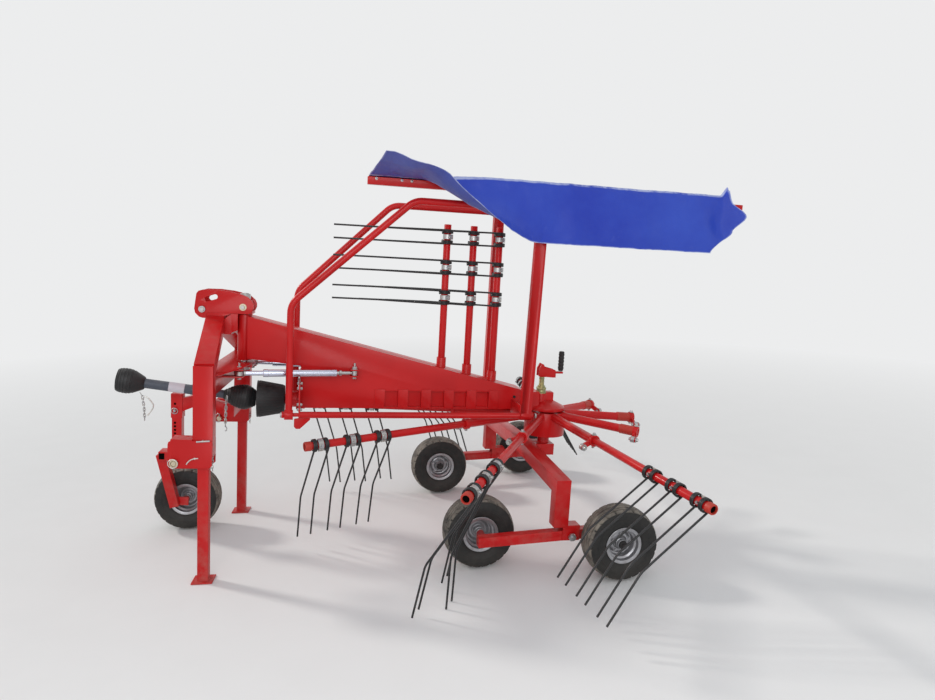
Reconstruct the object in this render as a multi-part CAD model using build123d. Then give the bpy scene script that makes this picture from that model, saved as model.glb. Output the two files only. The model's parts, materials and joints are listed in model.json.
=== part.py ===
from build123d import *
import os
from math import cos, radians, sin

# Rotary rake, parked on two stand legs with its side guards folded up.
# Millimetres. X points forward to the hitch, Y to the machine's left, Z up.
# The frame leans back a little when it is parked, so most pieces are drawn in
# the frame's own axes and then leaned by FRAME_LEAN.

# Driving dimensions
FRAME_LEAN = 3.2            # degrees, nose up
HUB_HEIGHT = 600.0          # the point about which the frame leans, above the ground
RUNNING = 0.05              # radial clearance of a pin in its hole
GAP = 1.0                   # face clearance of a turning piece
TOUCH = 0.3                 # clearance of curved faces that meet

BEAM_BOTTOM = 682.0
BEAM_REAR_X = 172.0
BEAM_FRONT_X = 1434.0
BEAM_WIDTH = 160.0
BEAM_REAR_TOP = 795.0
BEAM_TOP_SLOPE = 0.2445
NOSE_BOTTOM_REAR = 915.0
NOSE_BOTTOM_FRONT = 948.0
RIB_COUNT = 6
RIB_FIRST_X = 321.0
RIB_STEP = 131.0
RIB_WIDTH = 56.0
RIB_RAISE = 6.0
RIB_TOP = 790.0
POCKET_DEPTH = 20.0
POCKET_EDGE = 9.0

KING_X = 1733.0
KING_PIN_R = 22.0
KING_TUBE_R = 38.0
KING_TUBE_BOTTOM = 932.0
KING_TUBE_TOP = 1178.0

DRUM_R = 120.0
DRUM_BOTTOM = 520.0
DRUM_TOP = 660.0
CENTRE_AXLE_R = 35.0
DOME_R = 114.0
DOME_BOTTOM = 670.0
DOME_RIM_TOP = 688.0
DOME_TOP = 726.0
BOSS_R = 37.0
BOSS_TOP = 766.0
GEARBOX_X = 62.0            # the casting from here to the beam
GEARBOX_TOP = 780.0
GEARBOX_HALF = 58.0
SPINDLE_X = 34.0            # the height spindle stands before the rotor's axis
SPINDLE_R = 16.0
SPINDLE_TOP = 862.0
CRANK_ARM = (30.0, 28.0)
CRANK_ARM_END = -92.0
CRANK_HEAD = (34.0, 52.0)
CRANK_HEAD_X = (-40.0, 62.0)
GRIP_X = -80.0
GRIP_R = 15.0
GRIP_TOP = 1018.0

ARM_COUNT = 9
ARM_PITCH = 360.0 / ARM_COUNT
ARM_FIRST_ANGLE = 99.04
ARM_AXIS_Z = 645.6          # where the arms' axes cross the rotor axis
ARM_DROOP = 2.65            # degrees below the rotor's plane
ARM_END_R = 1479.0
ARM_INSERT = 120.0
ARM_TUBE_R = 20.0
STUB_R = 24.0
STUB_END_R = 569.0
COLLAR_R = 31.0
COLLAR_LENGTH = 26.0
LEVER_END = (-66.0, -31.0)
LEVER = (12.0, 26.0)
ROLLER_R = 15.0
ROLLER = (-8.0, 22.0)

WIRE_R = 4.5
WIRE_INSET = 1.0            # keeps the wire's sides off the coil's faces
COIL_R = 33.0
COIL_LENGTH = 27.0
CLAMP_LENGTH = 30.0
CLAMP_R = 30.0
TINE_UPPER = 390.0
TINE_LOWER = 258.0
TINE_BEND = 20.0
TINE_BEND_R = 60.0
TINE_STATIONS = tuple(ARM_END_R - inward for inward in (409.0, 239.0, 69.0))

STORED_X = (650.0, 498.0, 346.0)
STORED_TOP = 1720.0
STORED_ROLL = 25.0
SOCKET_R = 27.0
SOCKET_HEIGHT = 55.0

WHEEL_R = 185.0
TYRE_WIDTH = 150.0
BEAD_R = 80.0
BEAD_HALF = 58.0
RIM_WALL = 6.0
RIM_FLANGE_R = 92.0
RIM_FLANGE = 4.0
RIM_WEB = 5.0
HUB_R = 27.0
HUB_LENGTH = 96.0
WHEEL_AXLE_R = 12.5
AXLE_NUT_R = 20.0
AXLE_NUT = 10.0

BAR_SIZE = 50.0
BAR_Y = 715.0
BAR_FRONT_X = 582.0
BAR_REAR_X = -140.0
BOGIE_PIVOT_X = 105.0
FRONT_WHEEL_X = 546.0
FRONT_WHEEL_Y = 572.0
REAR_WHEEL_X = -104.0
REAR_WHEEL_Y = 858.0
PIVOT_BOLT_R = 12.0
SADDLE_PLATE = 8.0
SADDLE_RISE = 46.0
SADDLE_HALF = 45.0
SADDLE_DROP = 24.0
ARCH_X = 140.0
ARCH_SIZE = 76.0
ARCH_TOP = 470.0
ARCH_BOTTOM = 396.0
ARCH_MIDDLE_Z = 466.0       # the arch's bars rise a little towards the middle
ARCH_BLOCK_HALF = 62.0      # the block in the arch's middle that holds the centre axle
ARCH_BLOCK_REAR = -50.0

HEAD_SWING = 5.9            # degrees, as the hitch head stands when parked
LEG_U = 95.0
LEG_V = 470.0
LEG_WIDE = 92.0
LEG_DEEP = 66.0
LEG_BOTTOM = 530.0
LEG_KNEE = 950.0
HEAD_TOP = 1182.0
CAP_PLATE = 16.0
CAP_HALF = 45.0
NECK_HALF = 60.0
NECK_BOTTOM = HEAD_TOP - 110.0
SHOULDER_U = 140.0
SHOULDER_V = 55.0
SHOULDER_W = HEAD_TOP - 45.0
BRIDGE_BOTTOM = 812.0
BRIDGE_TOP = 915.0
KING_PLATE = 18.0           # the plate below the king tube
LOW_BRIDGE_BOTTOM = 594.0
LOW_BRIDGE_TOP = 668.0
LOW_BRIDGE_END = -64.0      # it carries the nose wheel from the right leg
KING_BOSS_R = 38.0
KING_BOSS_TOP = 1252.0
KING_NUT_R = 30.0
KING_NUT = 21.0
KING_HEAD = 38.0
STAND_WIDE = 52.0
STAND_DEEP = 46.0
STAND_TOP = 700.0
STAND_TRAVEL = 240.0
FOOT_LONG = 102.0
FOOT_WIDE = 94.0
FOOT_PLATE = 8.0
LINK_BORE_R = 14.25
LINK_PLATE = 8.0
COVER_W = 609.0              # the cover over a clevis's two plates
COVER_U = 240.0
# side, sign, u and w of the lower link's hole: each side's plates are drilled on their own
LINK_HOLES = (("left", 1, 224.0, 501.0), ("right", -1, 221.0, 499.0))

# outlines as (u, w) of the hitch head
CLEVIS_OUTLINE = (
    (50, 611), (238, 611), (250, 603), (253, 592), (253, 500), (247, 482), (232, 475), (62, 478), (50, 490),
)
TOP_EAR_OUTLINE = (
    (-30, 1182), (-44, 1195), (-53, 1215), (-53, 1234), (-44, 1254), (-22, 1273), (17, 1287), (66, 1297),
    (133, 1303), (205, 1302), (228, 1295), (239, 1281), (245, 1240), (250, 1200), (245, 1178), (226, 1159),
    (208, 1153), (188, 1153), (188, 1182),
)
TOP_EAR = 10.0
TOP_EAR_Y = 55.0
TOP_LINK_UW = (210, 1199)
TOP_LINK_R = 12.75
SLOT_ENDS_UW = ((144, 1267), (185, 1253))
SLOT_R = 13.0

# the carrier's arm from the lower bridge to the post, as (u, w)
CARRIER_OUTLINE = (
    (125, 604), (125, 666), (262, 706), (284, 704), (376, 680), (376, 600), (284, 640), (262, 640),
)
POST_BOTTOM = 345.0
POST_TOP = 712.0
SLEEVE_BOTTOM = 577.0
SLEEVE_WALL = 4.0
FORK_SIZE = 50.0
FORK_V = -147.0
FORK_TOP_UW = (476, 352)
FORK_END_UW = (400, 46)
ELBOW_W = (330.0, 378.0)    # the block that joins the fork to the post
LUG_PLATE = 12.0
CARRIER_HALF = 22.0
JOCKEY_U = 355.0
JOCKEY_V = -250.0
POST_U = 376.0
POST_V = -110.0
POST_SIZE = 52.0

HOOP_Y = 250.0
HOOP_PIVOT_Z = 683.0
HOOP_TUBE_R = 18.0
HOOP_TOP_Z = 1820.0
HOOP_BEND_R = 110.0
PIVOT_PIN_R = 10.0
FOOT_HALF = 22.0
FOOT_EYE_R = 26.0
CARRIER_R = 17.0
FRONT_EAR_TOP = 845.0
REAR_EAR_TOP = 745.0
# the gusset below a carrier's front end, as (x, z)
GUSSET_OUTLINE = ((1440, 700), (1440, 626), (1424, 624), (1386, 664), (1386, 690))
PIN_HEAD_R = 17.0
PIN_HEAD = 12.0
POST_LONG = 60.0
POST_WIDE = 40.0
BAR_Z = 1905.0
CURTAIN_BAR = 40.0
CURTAIN_BAR_FRONT = 1125.0
CURTAIN_BAR_REAR = -1010.0
BAR_FEET_X = (230.0, 560.0)
BAR_FOOT = 28.0
BAR_FOOT_LONG = 50.0

CLOTH = 6.0
FLAP = 310.0                # of cloth from the bar to the near edge
FLAP_STEPS = 6
# along the bar: x, the flap's slope below level at the bar and at its edge, and how high the cloth crowns
CLOTH_SECTIONS = (
    (-925, 70, 95, 20), (-400, 70, 95, 18), (200, 70, 95, 18), (300, 80, 60, 18),
    (400, 85, 35, 18), (480, 85, 5, 18), (620, 85, -35, 16), (760, 45, -45, 12),
    (870, 0, -18, 6), (1030, -12, -20, 2), (1120, -12, -20, 2),
)

SHAFT_Z = 715.0
SHAFT_REAR = (1668.0, 0.0, SHAFT_Z)
SHAFT_FRONT = (2335.0, 0.0, 806.0)
SHAFT_TUBE_R = 22.0
SHAFT_TUBE_END = 560.0
SLEEVE_R = 26.5
SLEEVE_START = 365.0
SLEEVE_END = 600.0
# the guards over the joints, as (distance along the shaft, radius)
REAR_GUARD = ((4, 44), (20, 52), (50, 64), (91, 68), (120, 62), (150, 50), (175, 36), (186, 27))
FRONT_GUARD = ((570, 30), (585, 44), (604, 57), (624, 61), (700, 62))
FRONT_GUARD_END_R = 56.0
YOKE_BORE_R = 17.5
YOKE_HALF = 40.0            # the front yoke's bore, to each side of the joint's place
YOKE_R = 40.0
HOOD_REAR = 83.0            # from the beam's front
HOOD_LENGTH = 146.0
HOOD_REAR_R = 81.0
HOOD_FRONT_R = 101.0
HOOD_WALL = 5.0
BEARING_R = 45.0
COLLAR_START = 160.0
STUB_DEPTH = 60.0
DAMPER_R = 20.0
DAMPER_START = 95.0         # the thin tail ends and the barrel starts here
DAMPER_TAIL_R = 10.0
DAMPER_REAR_X = 1150.0
DAMPER_REAR_Y = 125.0
DAMPER_Z = 888.0
DAMPER_PIN_R = 7.0
EYE_U = -10.0
EYE_V = 190.0
EYE_R = 26.0
EYE_BORE_R = 19.0           # open, since the eye drifts about its pin as the head swings
EYE_HIGH = 20.0
EAR = 6.0
EAR_GAP = 29.0
CYLINDER_SHARE = 0.8
ROD_R = 13.0
ROD_LENGTH = 300.0
ROD_INWARD = 110.0          # room behind the rod for its inward travel

# side name, which way its Y points
SIDES = (("left", 1), ("right", -1))

LEAN = Pos(0, 0, HUB_HEIGHT) * Rot(0, -FRAME_LEAN, 0) * Pos(0, 0, -HUB_HEIGHT)
HEAD = LEAN * Pos(KING_X, 0, 0) * Rot(0, 0, -HEAD_SWING)
nodes = {}


def run(p, q, side=None):
    start, end = Vector(*p), Vector(*q)
    if side is None:
        return Plane(origin=start, z_dir=end - start), (end - start).length
    return Plane(origin=start, x_dir=Vector(*side), z_dir=end - start), (end - start).length


def rod(p, q, radius):
    plane, length = run(p, q)
    return extrude(plane * Circle(radius), amount=length)


def pipe(p, q, radius, bore):
    plane, length = run(p, q)
    return extrude(plane * (Circle(radius) - Circle(bore)), amount=length)


def bar(p, q, wide, deep, side=(0, 1, 0)):
    """A square-cut bar from p to q, wide along side and deep across it."""
    plane, length = run(p, q, side)
    return extrude(plane * Rectangle(wide, deep), amount=length)


def block(low, high):
    size = [b - a for a, b in zip(low, high)]
    centre = [(a + b) / 2 for a, b in zip(low, high)]
    return Pos(*centre) * Box(*size)


def plate_xz(points, y_low, y_high):
    """A plate drawn in X and Z, thick from y_low to y_high."""
    face = make_face(Polyline(*[(x, z) for x, z in points], close=True))
    plane = Plane(origin=(0, y_high, 0), x_dir=(1, 0, 0), z_dir=(0, -1, 0))
    return extrude(plane * face, amount=y_high - y_low)


def joined(pieces):
    whole = pieces[0]
    for piece in pieces[1:]:
        whole = whole + piece
    return whole


def keep(name, where, *pieces):
    """Each piece given here is a solid of its own in the node."""
    solids = [solid for piece in pieces for solid in (where * piece).solids()]
    nodes[name] = Compound(children=solids)


def beam_top(x):
    return BEAM_REAR_TOP + BEAM_TOP_SLOPE * (x - BEAM_REAR_X)


# Beam

def main_beam():
    half = BEAM_WIDTH / 2
    nose_x = KING_X - KING_TUBE_R / 2
    outline = [
        (BEAM_REAR_X, BEAM_BOTTOM), (BEAM_FRONT_X, BEAM_BOTTOM), (BEAM_FRONT_X, NOSE_BOTTOM_REAR),
        (nose_x, NOSE_BOTTOM_FRONT), (nose_x, beam_top(nose_x)), (BEAM_REAR_X, beam_top(BEAM_REAR_X)),
    ]
    body = plate_xz(outline, -half, half)
    body += rod((KING_X, 0, KING_TUBE_BOTTOM), (KING_X, 0, KING_TUBE_TOP), KING_TUBE_R)
    body -= rod((KING_X, 0, KING_TUBE_BOTTOM - GAP), (KING_X, 0, KING_TUBE_TOP + GAP), KING_PIN_R + RUNNING)
    for index in range(RIB_COUNT):
        x = RIB_FIRST_X + RIB_STEP * index
        body += block((x, -half - RIB_RAISE, BEAM_BOTTOM + GAP), (x + RIB_WIDTH, half + RIB_RAISE, RIB_TOP))
        if index:
            for y in (-half - GAP, half - POCKET_DEPTH):
                low = (x - RIB_STEP + RIB_WIDTH, y, BEAM_BOTTOM + POCKET_EDGE)
                body -= block(low, (x, y + POCKET_DEPTH + GAP, RIB_TOP - POCKET_EDGE))
    for x in STORED_X:
        body += rod((x, 0, beam_top(x) - SOCKET_R), (x, 0, beam_top(x) + SOCKET_HEIGHT), SOCKET_R)
        body -= rod((x, 0, beam_top(x)), (x, 0, beam_top(x) + SOCKET_HEIGHT + GAP), ARM_TUBE_R + RUNNING)
    for _, sign in SIDES:
        body += damper_bracket(sign)
    return body


def damper_bracket(sign):
    """Two ears on the beam's side with the damper's rear bolt through them."""
    y_in, y_out = sorted((sign * BEAM_WIDTH / 2, sign * (DAMPER_REAR_Y + 20)))
    bolt_y = sign * DAMPER_REAR_Y
    bracket = rod((DAMPER_REAR_X, bolt_y, DAMPER_Z - 38), (DAMPER_REAR_X, bolt_y, DAMPER_Z + 38), DAMPER_PIN_R)
    for z in (DAMPER_Z - EAR_GAP / 2 - EAR, DAMPER_Z + EAR_GAP / 2):
        bracket += block((DAMPER_REAR_X - 22, y_in, z), (DAMPER_REAR_X + 22, y_out, z + EAR))
    return bracket


keep("main_beam", LEAN, main_beam())


# Gearbox, its height spindle and the centre axle

def gearbox():
    dome = rod((0, 0, DOME_BOTTOM), (0, 0, DOME_RIM_TOP), DOME_R)
    dome += Pos(0, 0, (DOME_RIM_TOP + DOME_TOP) / 2) * Cone(DOME_R, BOSS_R, DOME_TOP - DOME_RIM_TOP)
    dome += rod((SPINDLE_X, 0, DOME_BOTTOM + 4), (SPINDLE_X, 0, BOSS_TOP), BOSS_R)
    dome += block((GEARBOX_X, -GEARBOX_HALF, DOME_BOTTOM + 4), (BEAM_REAR_X, GEARBOX_HALF, GEARBOX_TOP))
    return dome


def arch():
    """Carries the machine's weight from the centre axle to the saddles of the two bogies."""
    roof = PIVOT.Z + SADDLE_RISE
    half = ARCH_SIZE / 2
    reach = BAR_Y + ARCH_SIZE / 2
    body = rod((0, 0, ARCH_BOTTOM), (0, 0, DOME_BOTTOM), CENTRE_AXLE_R)
    low = (ARCH_BLOCK_REAR, -ARCH_BLOCK_HALF, ARCH_BOTTOM + 4)
    body += block(low, (ARCH_X, ARCH_BLOCK_HALF, ARCH_TOP - 4))
    for _, sign in SIDES:
        inner, outer = (ARCH_X, 0, ARCH_MIDDLE_Z), (ARCH_X, sign * reach, ARCH_TOP - half)
        body += bar(inner, outer, ARCH_SIZE, ARCH_SIZE, side=(1, 0, 0))
        y_low, y_high = sign * BAR_Y - half, sign * BAR_Y + half
        body += block((ARCH_X - half, y_low, roof), (ARCH_X + half, y_high, ARCH_TOP))
        outer = BAR_SIZE / 2 + GAP + SADDLE_PLATE
        y_low, y_high = sign * BAR_Y - outer, sign * BAR_Y + outer
        body += block((PIVOT.X - SADDLE_HALF, y_low, roof), (ARCH_X + half, y_high, roof + SADDLE_PLATE))
        for low in (y_low, y_high - SADDLE_PLATE):
            corner = (PIVOT.X - SADDLE_HALF, low, PIVOT.Z - SADDLE_DROP)
            body += block(corner, (PIVOT.X + SADDLE_HALF, low + SADDLE_PLATE, roof + GAP))
        body += rod((PIVOT.X, y_low - 12, PIVOT.Z), (PIVOT.X, y_high + 12, PIVOT.Z), PIVOT_BOLT_R)
    return body


PIVOT = (LEAN.inverse() * Pos(BOGIE_PIVOT_X, 0, WHEEL_R)).position

keep("gearbox", LEAN, gearbox())
keep("height_spindle", LEAN, rod((SPINDLE_X, 0, BOSS_TOP), (SPINDLE_X, 0, SPINDLE_TOP), SPINDLE_R))
head_z = SPINDLE_TOP + CRANK_HEAD[1] / 2
arm_z = SPINDLE_TOP + CRANK_ARM[1] / 2
crank = bar((CRANK_HEAD_X[0], 0, head_z), (CRANK_HEAD_X[1], 0, head_z), *CRANK_HEAD)
crank += bar((0, 0, arm_z), (CRANK_ARM_END, 0, arm_z), *CRANK_ARM)
crank += rod((GRIP_X, 0, arm_z), (GRIP_X, 0, GRIP_TOP), GRIP_R)
keep("height_crank", LEAN, crank)
keep("axle_arch", LEAN, arch())


# Rotor

def arm_place(index):
    angle = ARM_FIRST_ANGLE - ARM_PITCH * index
    return LEAN * Rot(0, 0, angle) * Pos(0, 0, ARM_AXIS_Z) * Rot(0, ARM_DROOP, 0)


def rotor_hub():
    """A drum with a stub for each arm. A lever on each stub's collar turns the arm to lift its tines."""
    drum = rod((0, 0, DRUM_BOTTOM), (0, 0, DRUM_TOP), DRUM_R)
    drum -= rod((0, 0, DRUM_BOTTOM - GAP), (0, 0, DRUM_TOP + GAP), CENTRE_AXLE_R + RUNNING)
    for index in range(ARM_COUNT):
        angle = ARM_FIRST_ANGLE - ARM_PITCH * index
        place = Rot(0, 0, angle) * Pos(0, 0, ARM_AXIS_Z) * Rot(0, ARM_DROOP, 0)
        stub = pipe((DRUM_R - 25, 0, 0), (STUB_END_R, 0, 0), STUB_R, ARM_TUBE_R + RUNNING)
        collar = pipe((STUB_END_R - COLLAR_LENGTH, 0, 0), (STUB_END_R, 0, 0), COLLAR_R, ARM_TUBE_R + RUNNING)
        lever_x = STUB_END_R - COLLAR_LENGTH / 2
        lever = bar((lever_x, -ARM_TUBE_R - 2, -10), (lever_x, *LEVER_END), *LEVER, side=(1, 0, 0))
        roller = rod((lever_x + ROLLER[0], *LEVER_END), (lever_x + ROLLER[1], *LEVER_END), ROLLER_R)
        drum = drum + place * (stub + collar + lever + roller)
    return drum


def double_tine(station, roll):
    """Two sprung wires wound round the arm, with the clamp between them."""
    half = CLAMP_LENGTH / 2
    bore = ARM_TUBE_R + TOUCH
    reach = half + COIL_LENGTH
    body = pipe((station - reach, 0, 0), (station - half, 0, 0), COIL_R, bore)
    body += pipe((station - half, 0, 0), (station + half, 0, 0), CLAMP_R, bore)
    body += pipe((station + half, 0, 0), (station + reach, 0, 0), COIL_R, bore)
    across = COIL_R - WIRE_R - WIRE_INSET
    slope = radians(TINE_BEND)
    for side in (-1, 1):
        x = station + side * (reach - WIRE_R - WIRE_INSET)
        knee = (x, across, -TINE_UPPER)
        tip = (x, across + TINE_LOWER * sin(slope), -TINE_UPPER - TINE_LOWER * cos(slope))
        line = FilletPolyline((x, across, 0), knee, tip, radius=TINE_BEND_R)
        body += sweep(Plane(origin=(x, across, 0), z_dir=(0, 0, -1)) * Circle(WIRE_R), path=line)
    return Rot(-roll, 0, 0) * body


# arm number, how far the cam turns its tines from straight down, in degrees
ARM_ROLLS = ((0, 52.0), (1, 37.0), (2, 36.0), (3, 36.0), (4, 41.0), (5, 51.0))

keep("rotor_hub", LEAN, rotor_hub())
arm_tube = rod((STUB_END_R - ARM_INSERT, 0, 0), (ARM_END_R, 0, 0), ARM_TUBE_R)
nodes["rotor_arms"] = Compound(
    children=[solid for index, _ in ARM_ROLLS for solid in (arm_place(index) * arm_tube).solids()]
)
for index, roll in ARM_ROLLS:
    keep(f"tines_{index + 1}", arm_place(index), *[double_tine(station, roll) for station in TINE_STATIONS])


# Arms stored upright on the beam

def stored_place(x):
    return LEAN * Pos(x, 0, STORED_TOP - ARM_END_R) * Rot(0, -90, 0)


stored, stored_tines = [], []
for x in STORED_X:
    foot = beam_top(x) - (STORED_TOP - ARM_END_R)
    stored += (stored_place(x) * rod((foot, 0, 0), (ARM_END_R, 0, 0), ARM_TUBE_R)).solids()
    for station in TINE_STATIONS:
        stored_tines += (stored_place(x) * double_tine(station, STORED_ROLL)).solids()
nodes["stored_arms"] = Compound(children=stored)
nodes["stored_tines"] = Compound(children=stored_tines)


# Wheels

def tyre():
    half = TYRE_WIDTH / 2
    shoulder = WHEEL_R - 9
    bead = RIM_FLANGE_R + 2
    outline = [
        Polyline((-BEAD_HALF, bead), (-BEAD_HALF, BEAD_R), (BEAD_HALF, BEAD_R), (BEAD_HALF, bead)),
        ThreePointArc((BEAD_HALF, bead), (half, (bead + WHEEL_R) / 2), (half - 22, shoulder)),
        ThreePointArc((half - 22, shoulder), (0, WHEEL_R), (22 - half, shoulder)),
        ThreePointArc((22 - half, shoulder), (-half, (bead + WHEEL_R) / 2), (-BEAD_HALF, bead)),
    ]
    return revolve(Plane.XY * make_face(outline), axis=Axis.X)


def rim():
    seat = BEAD_R - TOUCH
    body = pipe((-BEAD_HALF - RIM_FLANGE, 0, 0), (BEAD_HALF + RIM_FLANGE, 0, 0), seat, seat - RIM_WALL)
    for side in (-1, 1):
        x = side * (BEAD_HALF + TOUCH)
        body += pipe((x, 0, 0), (x + side * RIM_FLANGE, 0, 0), RIM_FLANGE_R, seat - RIM_WALL)
    body += rod((-RIM_WEB / 2, 0, 0), (RIM_WEB / 2, 0, 0), seat)
    body += rod((-HUB_LENGTH / 2, 0, 0), (HUB_LENGTH / 2, 0, 0), HUB_R)
    body -= rod((-HUB_LENGTH, 0, 0), (HUB_LENGTH, 0, 0), WHEEL_AXLE_R + RUNNING)
    return body


def wheel(name, place):
    """The wheel is drawn about X, and place turns its axle to where it belongs."""
    keep(f"{name}_tyre", place, tyre())
    keep(f"{name}_rim", place, rim())


def axle(start, wheel_end):
    """A stub axle along Y from the bar to the nut outside the wheel's hub."""
    way = 1 if wheel_end > start else -1
    nut = wheel_end + way * (HUB_LENGTH / 2 + GAP)
    body = rod((0, start, 0), (0, nut + way * AXLE_NUT, 0), WHEEL_AXLE_R)
    body += rod((0, nut, 0), (0, nut + way * AXLE_NUT, 0), AXLE_NUT_R)
    inner = wheel_end - way * (HUB_LENGTH / 2 + GAP)
    body += rod((0, start, 0), (0, inner, 0), AXLE_NUT_R)
    return body


for side, sign in SIDES:
    half = BAR_SIZE / 2
    inner_y, outer_y = sign * BAR_Y - half, sign * BAR_Y + half
    bogie = block((BAR_REAR_X, inner_y, WHEEL_R - half), (BAR_FRONT_X, outer_y, WHEEL_R + half))
    bogie += Pos(FRONT_WHEEL_X, 0, WHEEL_R) * axle(sign * BAR_Y, sign * FRONT_WHEEL_Y)
    bogie += Pos(REAR_WHEEL_X, 0, WHEEL_R) * axle(sign * BAR_Y, sign * REAR_WHEEL_Y)
    hole = (BOGIE_PIVOT_X, inner_y - GAP, WHEEL_R), (BOGIE_PIVOT_X, outer_y + GAP, WHEEL_R)
    bogie -= rod(*hole, PIVOT_BOLT_R + RUNNING)
    keep(f"bogie_{side}", Pos(0, 0, 0), bogie)
    wheel(f"front_wheel_{side}", Pos(FRONT_WHEEL_X, sign * FRONT_WHEEL_Y, WHEEL_R) * Rot(0, 0, 90))
    wheel(f"rear_wheel_{side}", Pos(REAR_WHEEL_X, sign * REAR_WHEEL_Y, WHEEL_R) * Rot(0, 0, 90))

# Hitch head, drawn about the king pin: u forward, v left, w up

def head_frame():
    front = SHOULDER_U + LEG_WIDE / 2
    body = block((-CAP_HALF, -CAP_HALF, HEAD_TOP), (front, CAP_HALF, HEAD_TOP + CAP_PLATE))
    body += block((20 + KING_TUBE_R, -NECK_HALF, NECK_BOTTOM), (front, NECK_HALF, HEAD_TOP))
    for _, sign in SIDES:
        shoulder = (SHOULDER_U, sign * SHOULDER_V, SHOULDER_W)
        knee = (LEG_U, sign * LEG_V, LEG_KNEE)
        body += bar(shoulder, knee, LEG_WIDE, LEG_DEEP, side=(1, 0, 0))
        low = (LEG_U - LEG_WIDE / 2, sign * LEG_V - LEG_DEEP / 2, LEG_BOTTOM)
        high = (LEG_U + LEG_WIDE / 2, sign * LEG_V + LEG_DEEP / 2, LEG_KNEE + 20)
        body += block(low, high)
    inner = LEG_V - LEG_DEEP / 2
    body += block((LEG_U - 30, -inner, BRIDGE_BOTTOM), (LEG_U + 40, inner, BRIDGE_TOP))
    body += block((-50, -SHOULDER_V, BRIDGE_TOP - KING_PLATE), (LEG_U, SHOULDER_V, BRIDGE_TOP))
    inner -= LINK_PLATE
    body += block((LEG_U - 30, -inner, LOW_BRIDGE_BOTTOM), (LEG_U + 30, LOW_BRIDGE_END, LOW_BRIDGE_TOP))
    for _, sign in SIDES:
        for w in (DAMPER_Z - EAR_GAP / 2 - EAR, DAMPER_Z + EAR_GAP / 2):
            body += block((EYE_U - 22, sign * EYE_V - 24, w), (LEG_U, sign * EYE_V + 24, w + EAR))
        body += rod((EYE_U, sign * EYE_V, DAMPER_Z - 34), (EYE_U, sign * EYE_V, DAMPER_Z + 34), DAMPER_PIN_R)
    for _, sign in SIDES:
        slot = block(
            (LEG_U - STAND_WIDE / 2 - GAP, sign * LEG_V - STAND_DEEP / 2 - GAP, LEG_BOTTOM - GAP),
            (LEG_U + STAND_WIDE / 2 + GAP, sign * LEG_V + STAND_DEEP / 2 + GAP, STAND_TOP + STAND_TRAVEL + 8),
        )
        body -= slot
    body += rod((0, 0, HEAD_TOP), (0, 0, KING_BOSS_TOP), KING_BOSS_R)
    body -= rod((0, 0, BRIDGE_BOTTOM), (0, 0, KING_BOSS_TOP + GAP), KING_PIN_R - 4)
    return body


def top_link_bracket():
    """Two ears on the head's neck, each with the top link's hole and a slot above it."""
    ears = []
    for y in (-TOP_EAR_Y, TOP_EAR_Y - TOP_EAR):
        ear = plate_xz(TOP_EAR_OUTLINE, y, y + TOP_EAR)
        for (u, w), radius in ((TOP_LINK_UW, TOP_LINK_R), (SLOT_ENDS_UW[0], SLOT_R), (SLOT_ENDS_UW[1], SLOT_R)):
            ear -= rod((u, y - GAP, w), (u, y + TOP_EAR + GAP, w), radius)
        ends = [(u, y + TOP_EAR / 2, w) for u, w in SLOT_ENDS_UW]
        ear -= bar(*ends, TOP_EAR + 2 * GAP, 2 * SLOT_R)
        ears.append(ear)
    return ears


def lower_links():
    """Two plates on each leg with the hole of the lower link's pin through both, and a cover over them."""
    clevises = []
    for _, sign, u, w in LINK_HOLES:
        reach = LEG_DEEP / 2 + LINK_PLATE
        y_low, y_high = sign * LEG_V - reach, sign * LEG_V + reach
        body = block((LEG_U + LEG_WIDE / 2 + TOUCH, y_low, COVER_W), (COVER_U, y_high, COVER_W + LINK_PLATE))
        for low in (y_low, y_high - LINK_PLATE):
            body += plate_xz(CLEVIS_OUTLINE, low, low + LINK_PLATE)
        clevises.append(body - rod((u, y_low - GAP, w), (u, y_high + GAP, w), LINK_BORE_R))
    return clevises


def jockey_carrier():
    half = POST_SIZE / 2
    body = block((POST_U - half, POST_V - half, POST_BOTTOM), (POST_U + half, POST_V + half, POST_TOP - 6))
    half += SLEEVE_WALL
    body += block((POST_U - half, POST_V - half, SLEEVE_BOTTOM), (POST_U + half, POST_V + half, POST_TOP))
    body += plate_xz(CARRIER_OUTLINE, POST_V - CARRIER_HALF, POST_V + CARRIER_HALF)
    low = (POST_U - half, FORK_V - FORK_SIZE / 2, ELBOW_W[0])
    body += block(low, (FORK_TOP_UW[0], POST_V + CARRIER_HALF, ELBOW_W[1]))
    fork_ends = [(u, FORK_V, w) for u, w in (FORK_TOP_UW, FORK_END_UW)]
    body += bar(*fork_ends, FORK_SIZE, FORK_SIZE)
    lug_v = FORK_V - FORK_SIZE / 2
    low, high = (JOCKEY_U - 22, lug_v, JOCKEY_W - 24), (FORK_END_UW[0], lug_v + LUG_PLATE, JOCKEY_W + 24)
    body += block(low, high)
    body += Pos(JOCKEY_U, 0, JOCKEY_W) * axle(lug_v + LUG_PLATE, JOCKEY_V)
    return body


def level_place(where, u, v, height):
    """The head-frame w at which the point over (u, v) is at this height."""
    low, high = (where * Pos(u, v, 0)).position, (where * Pos(u, v, 1)).position
    return (height - low.Z) / (high.Z - low.Z)


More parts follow.
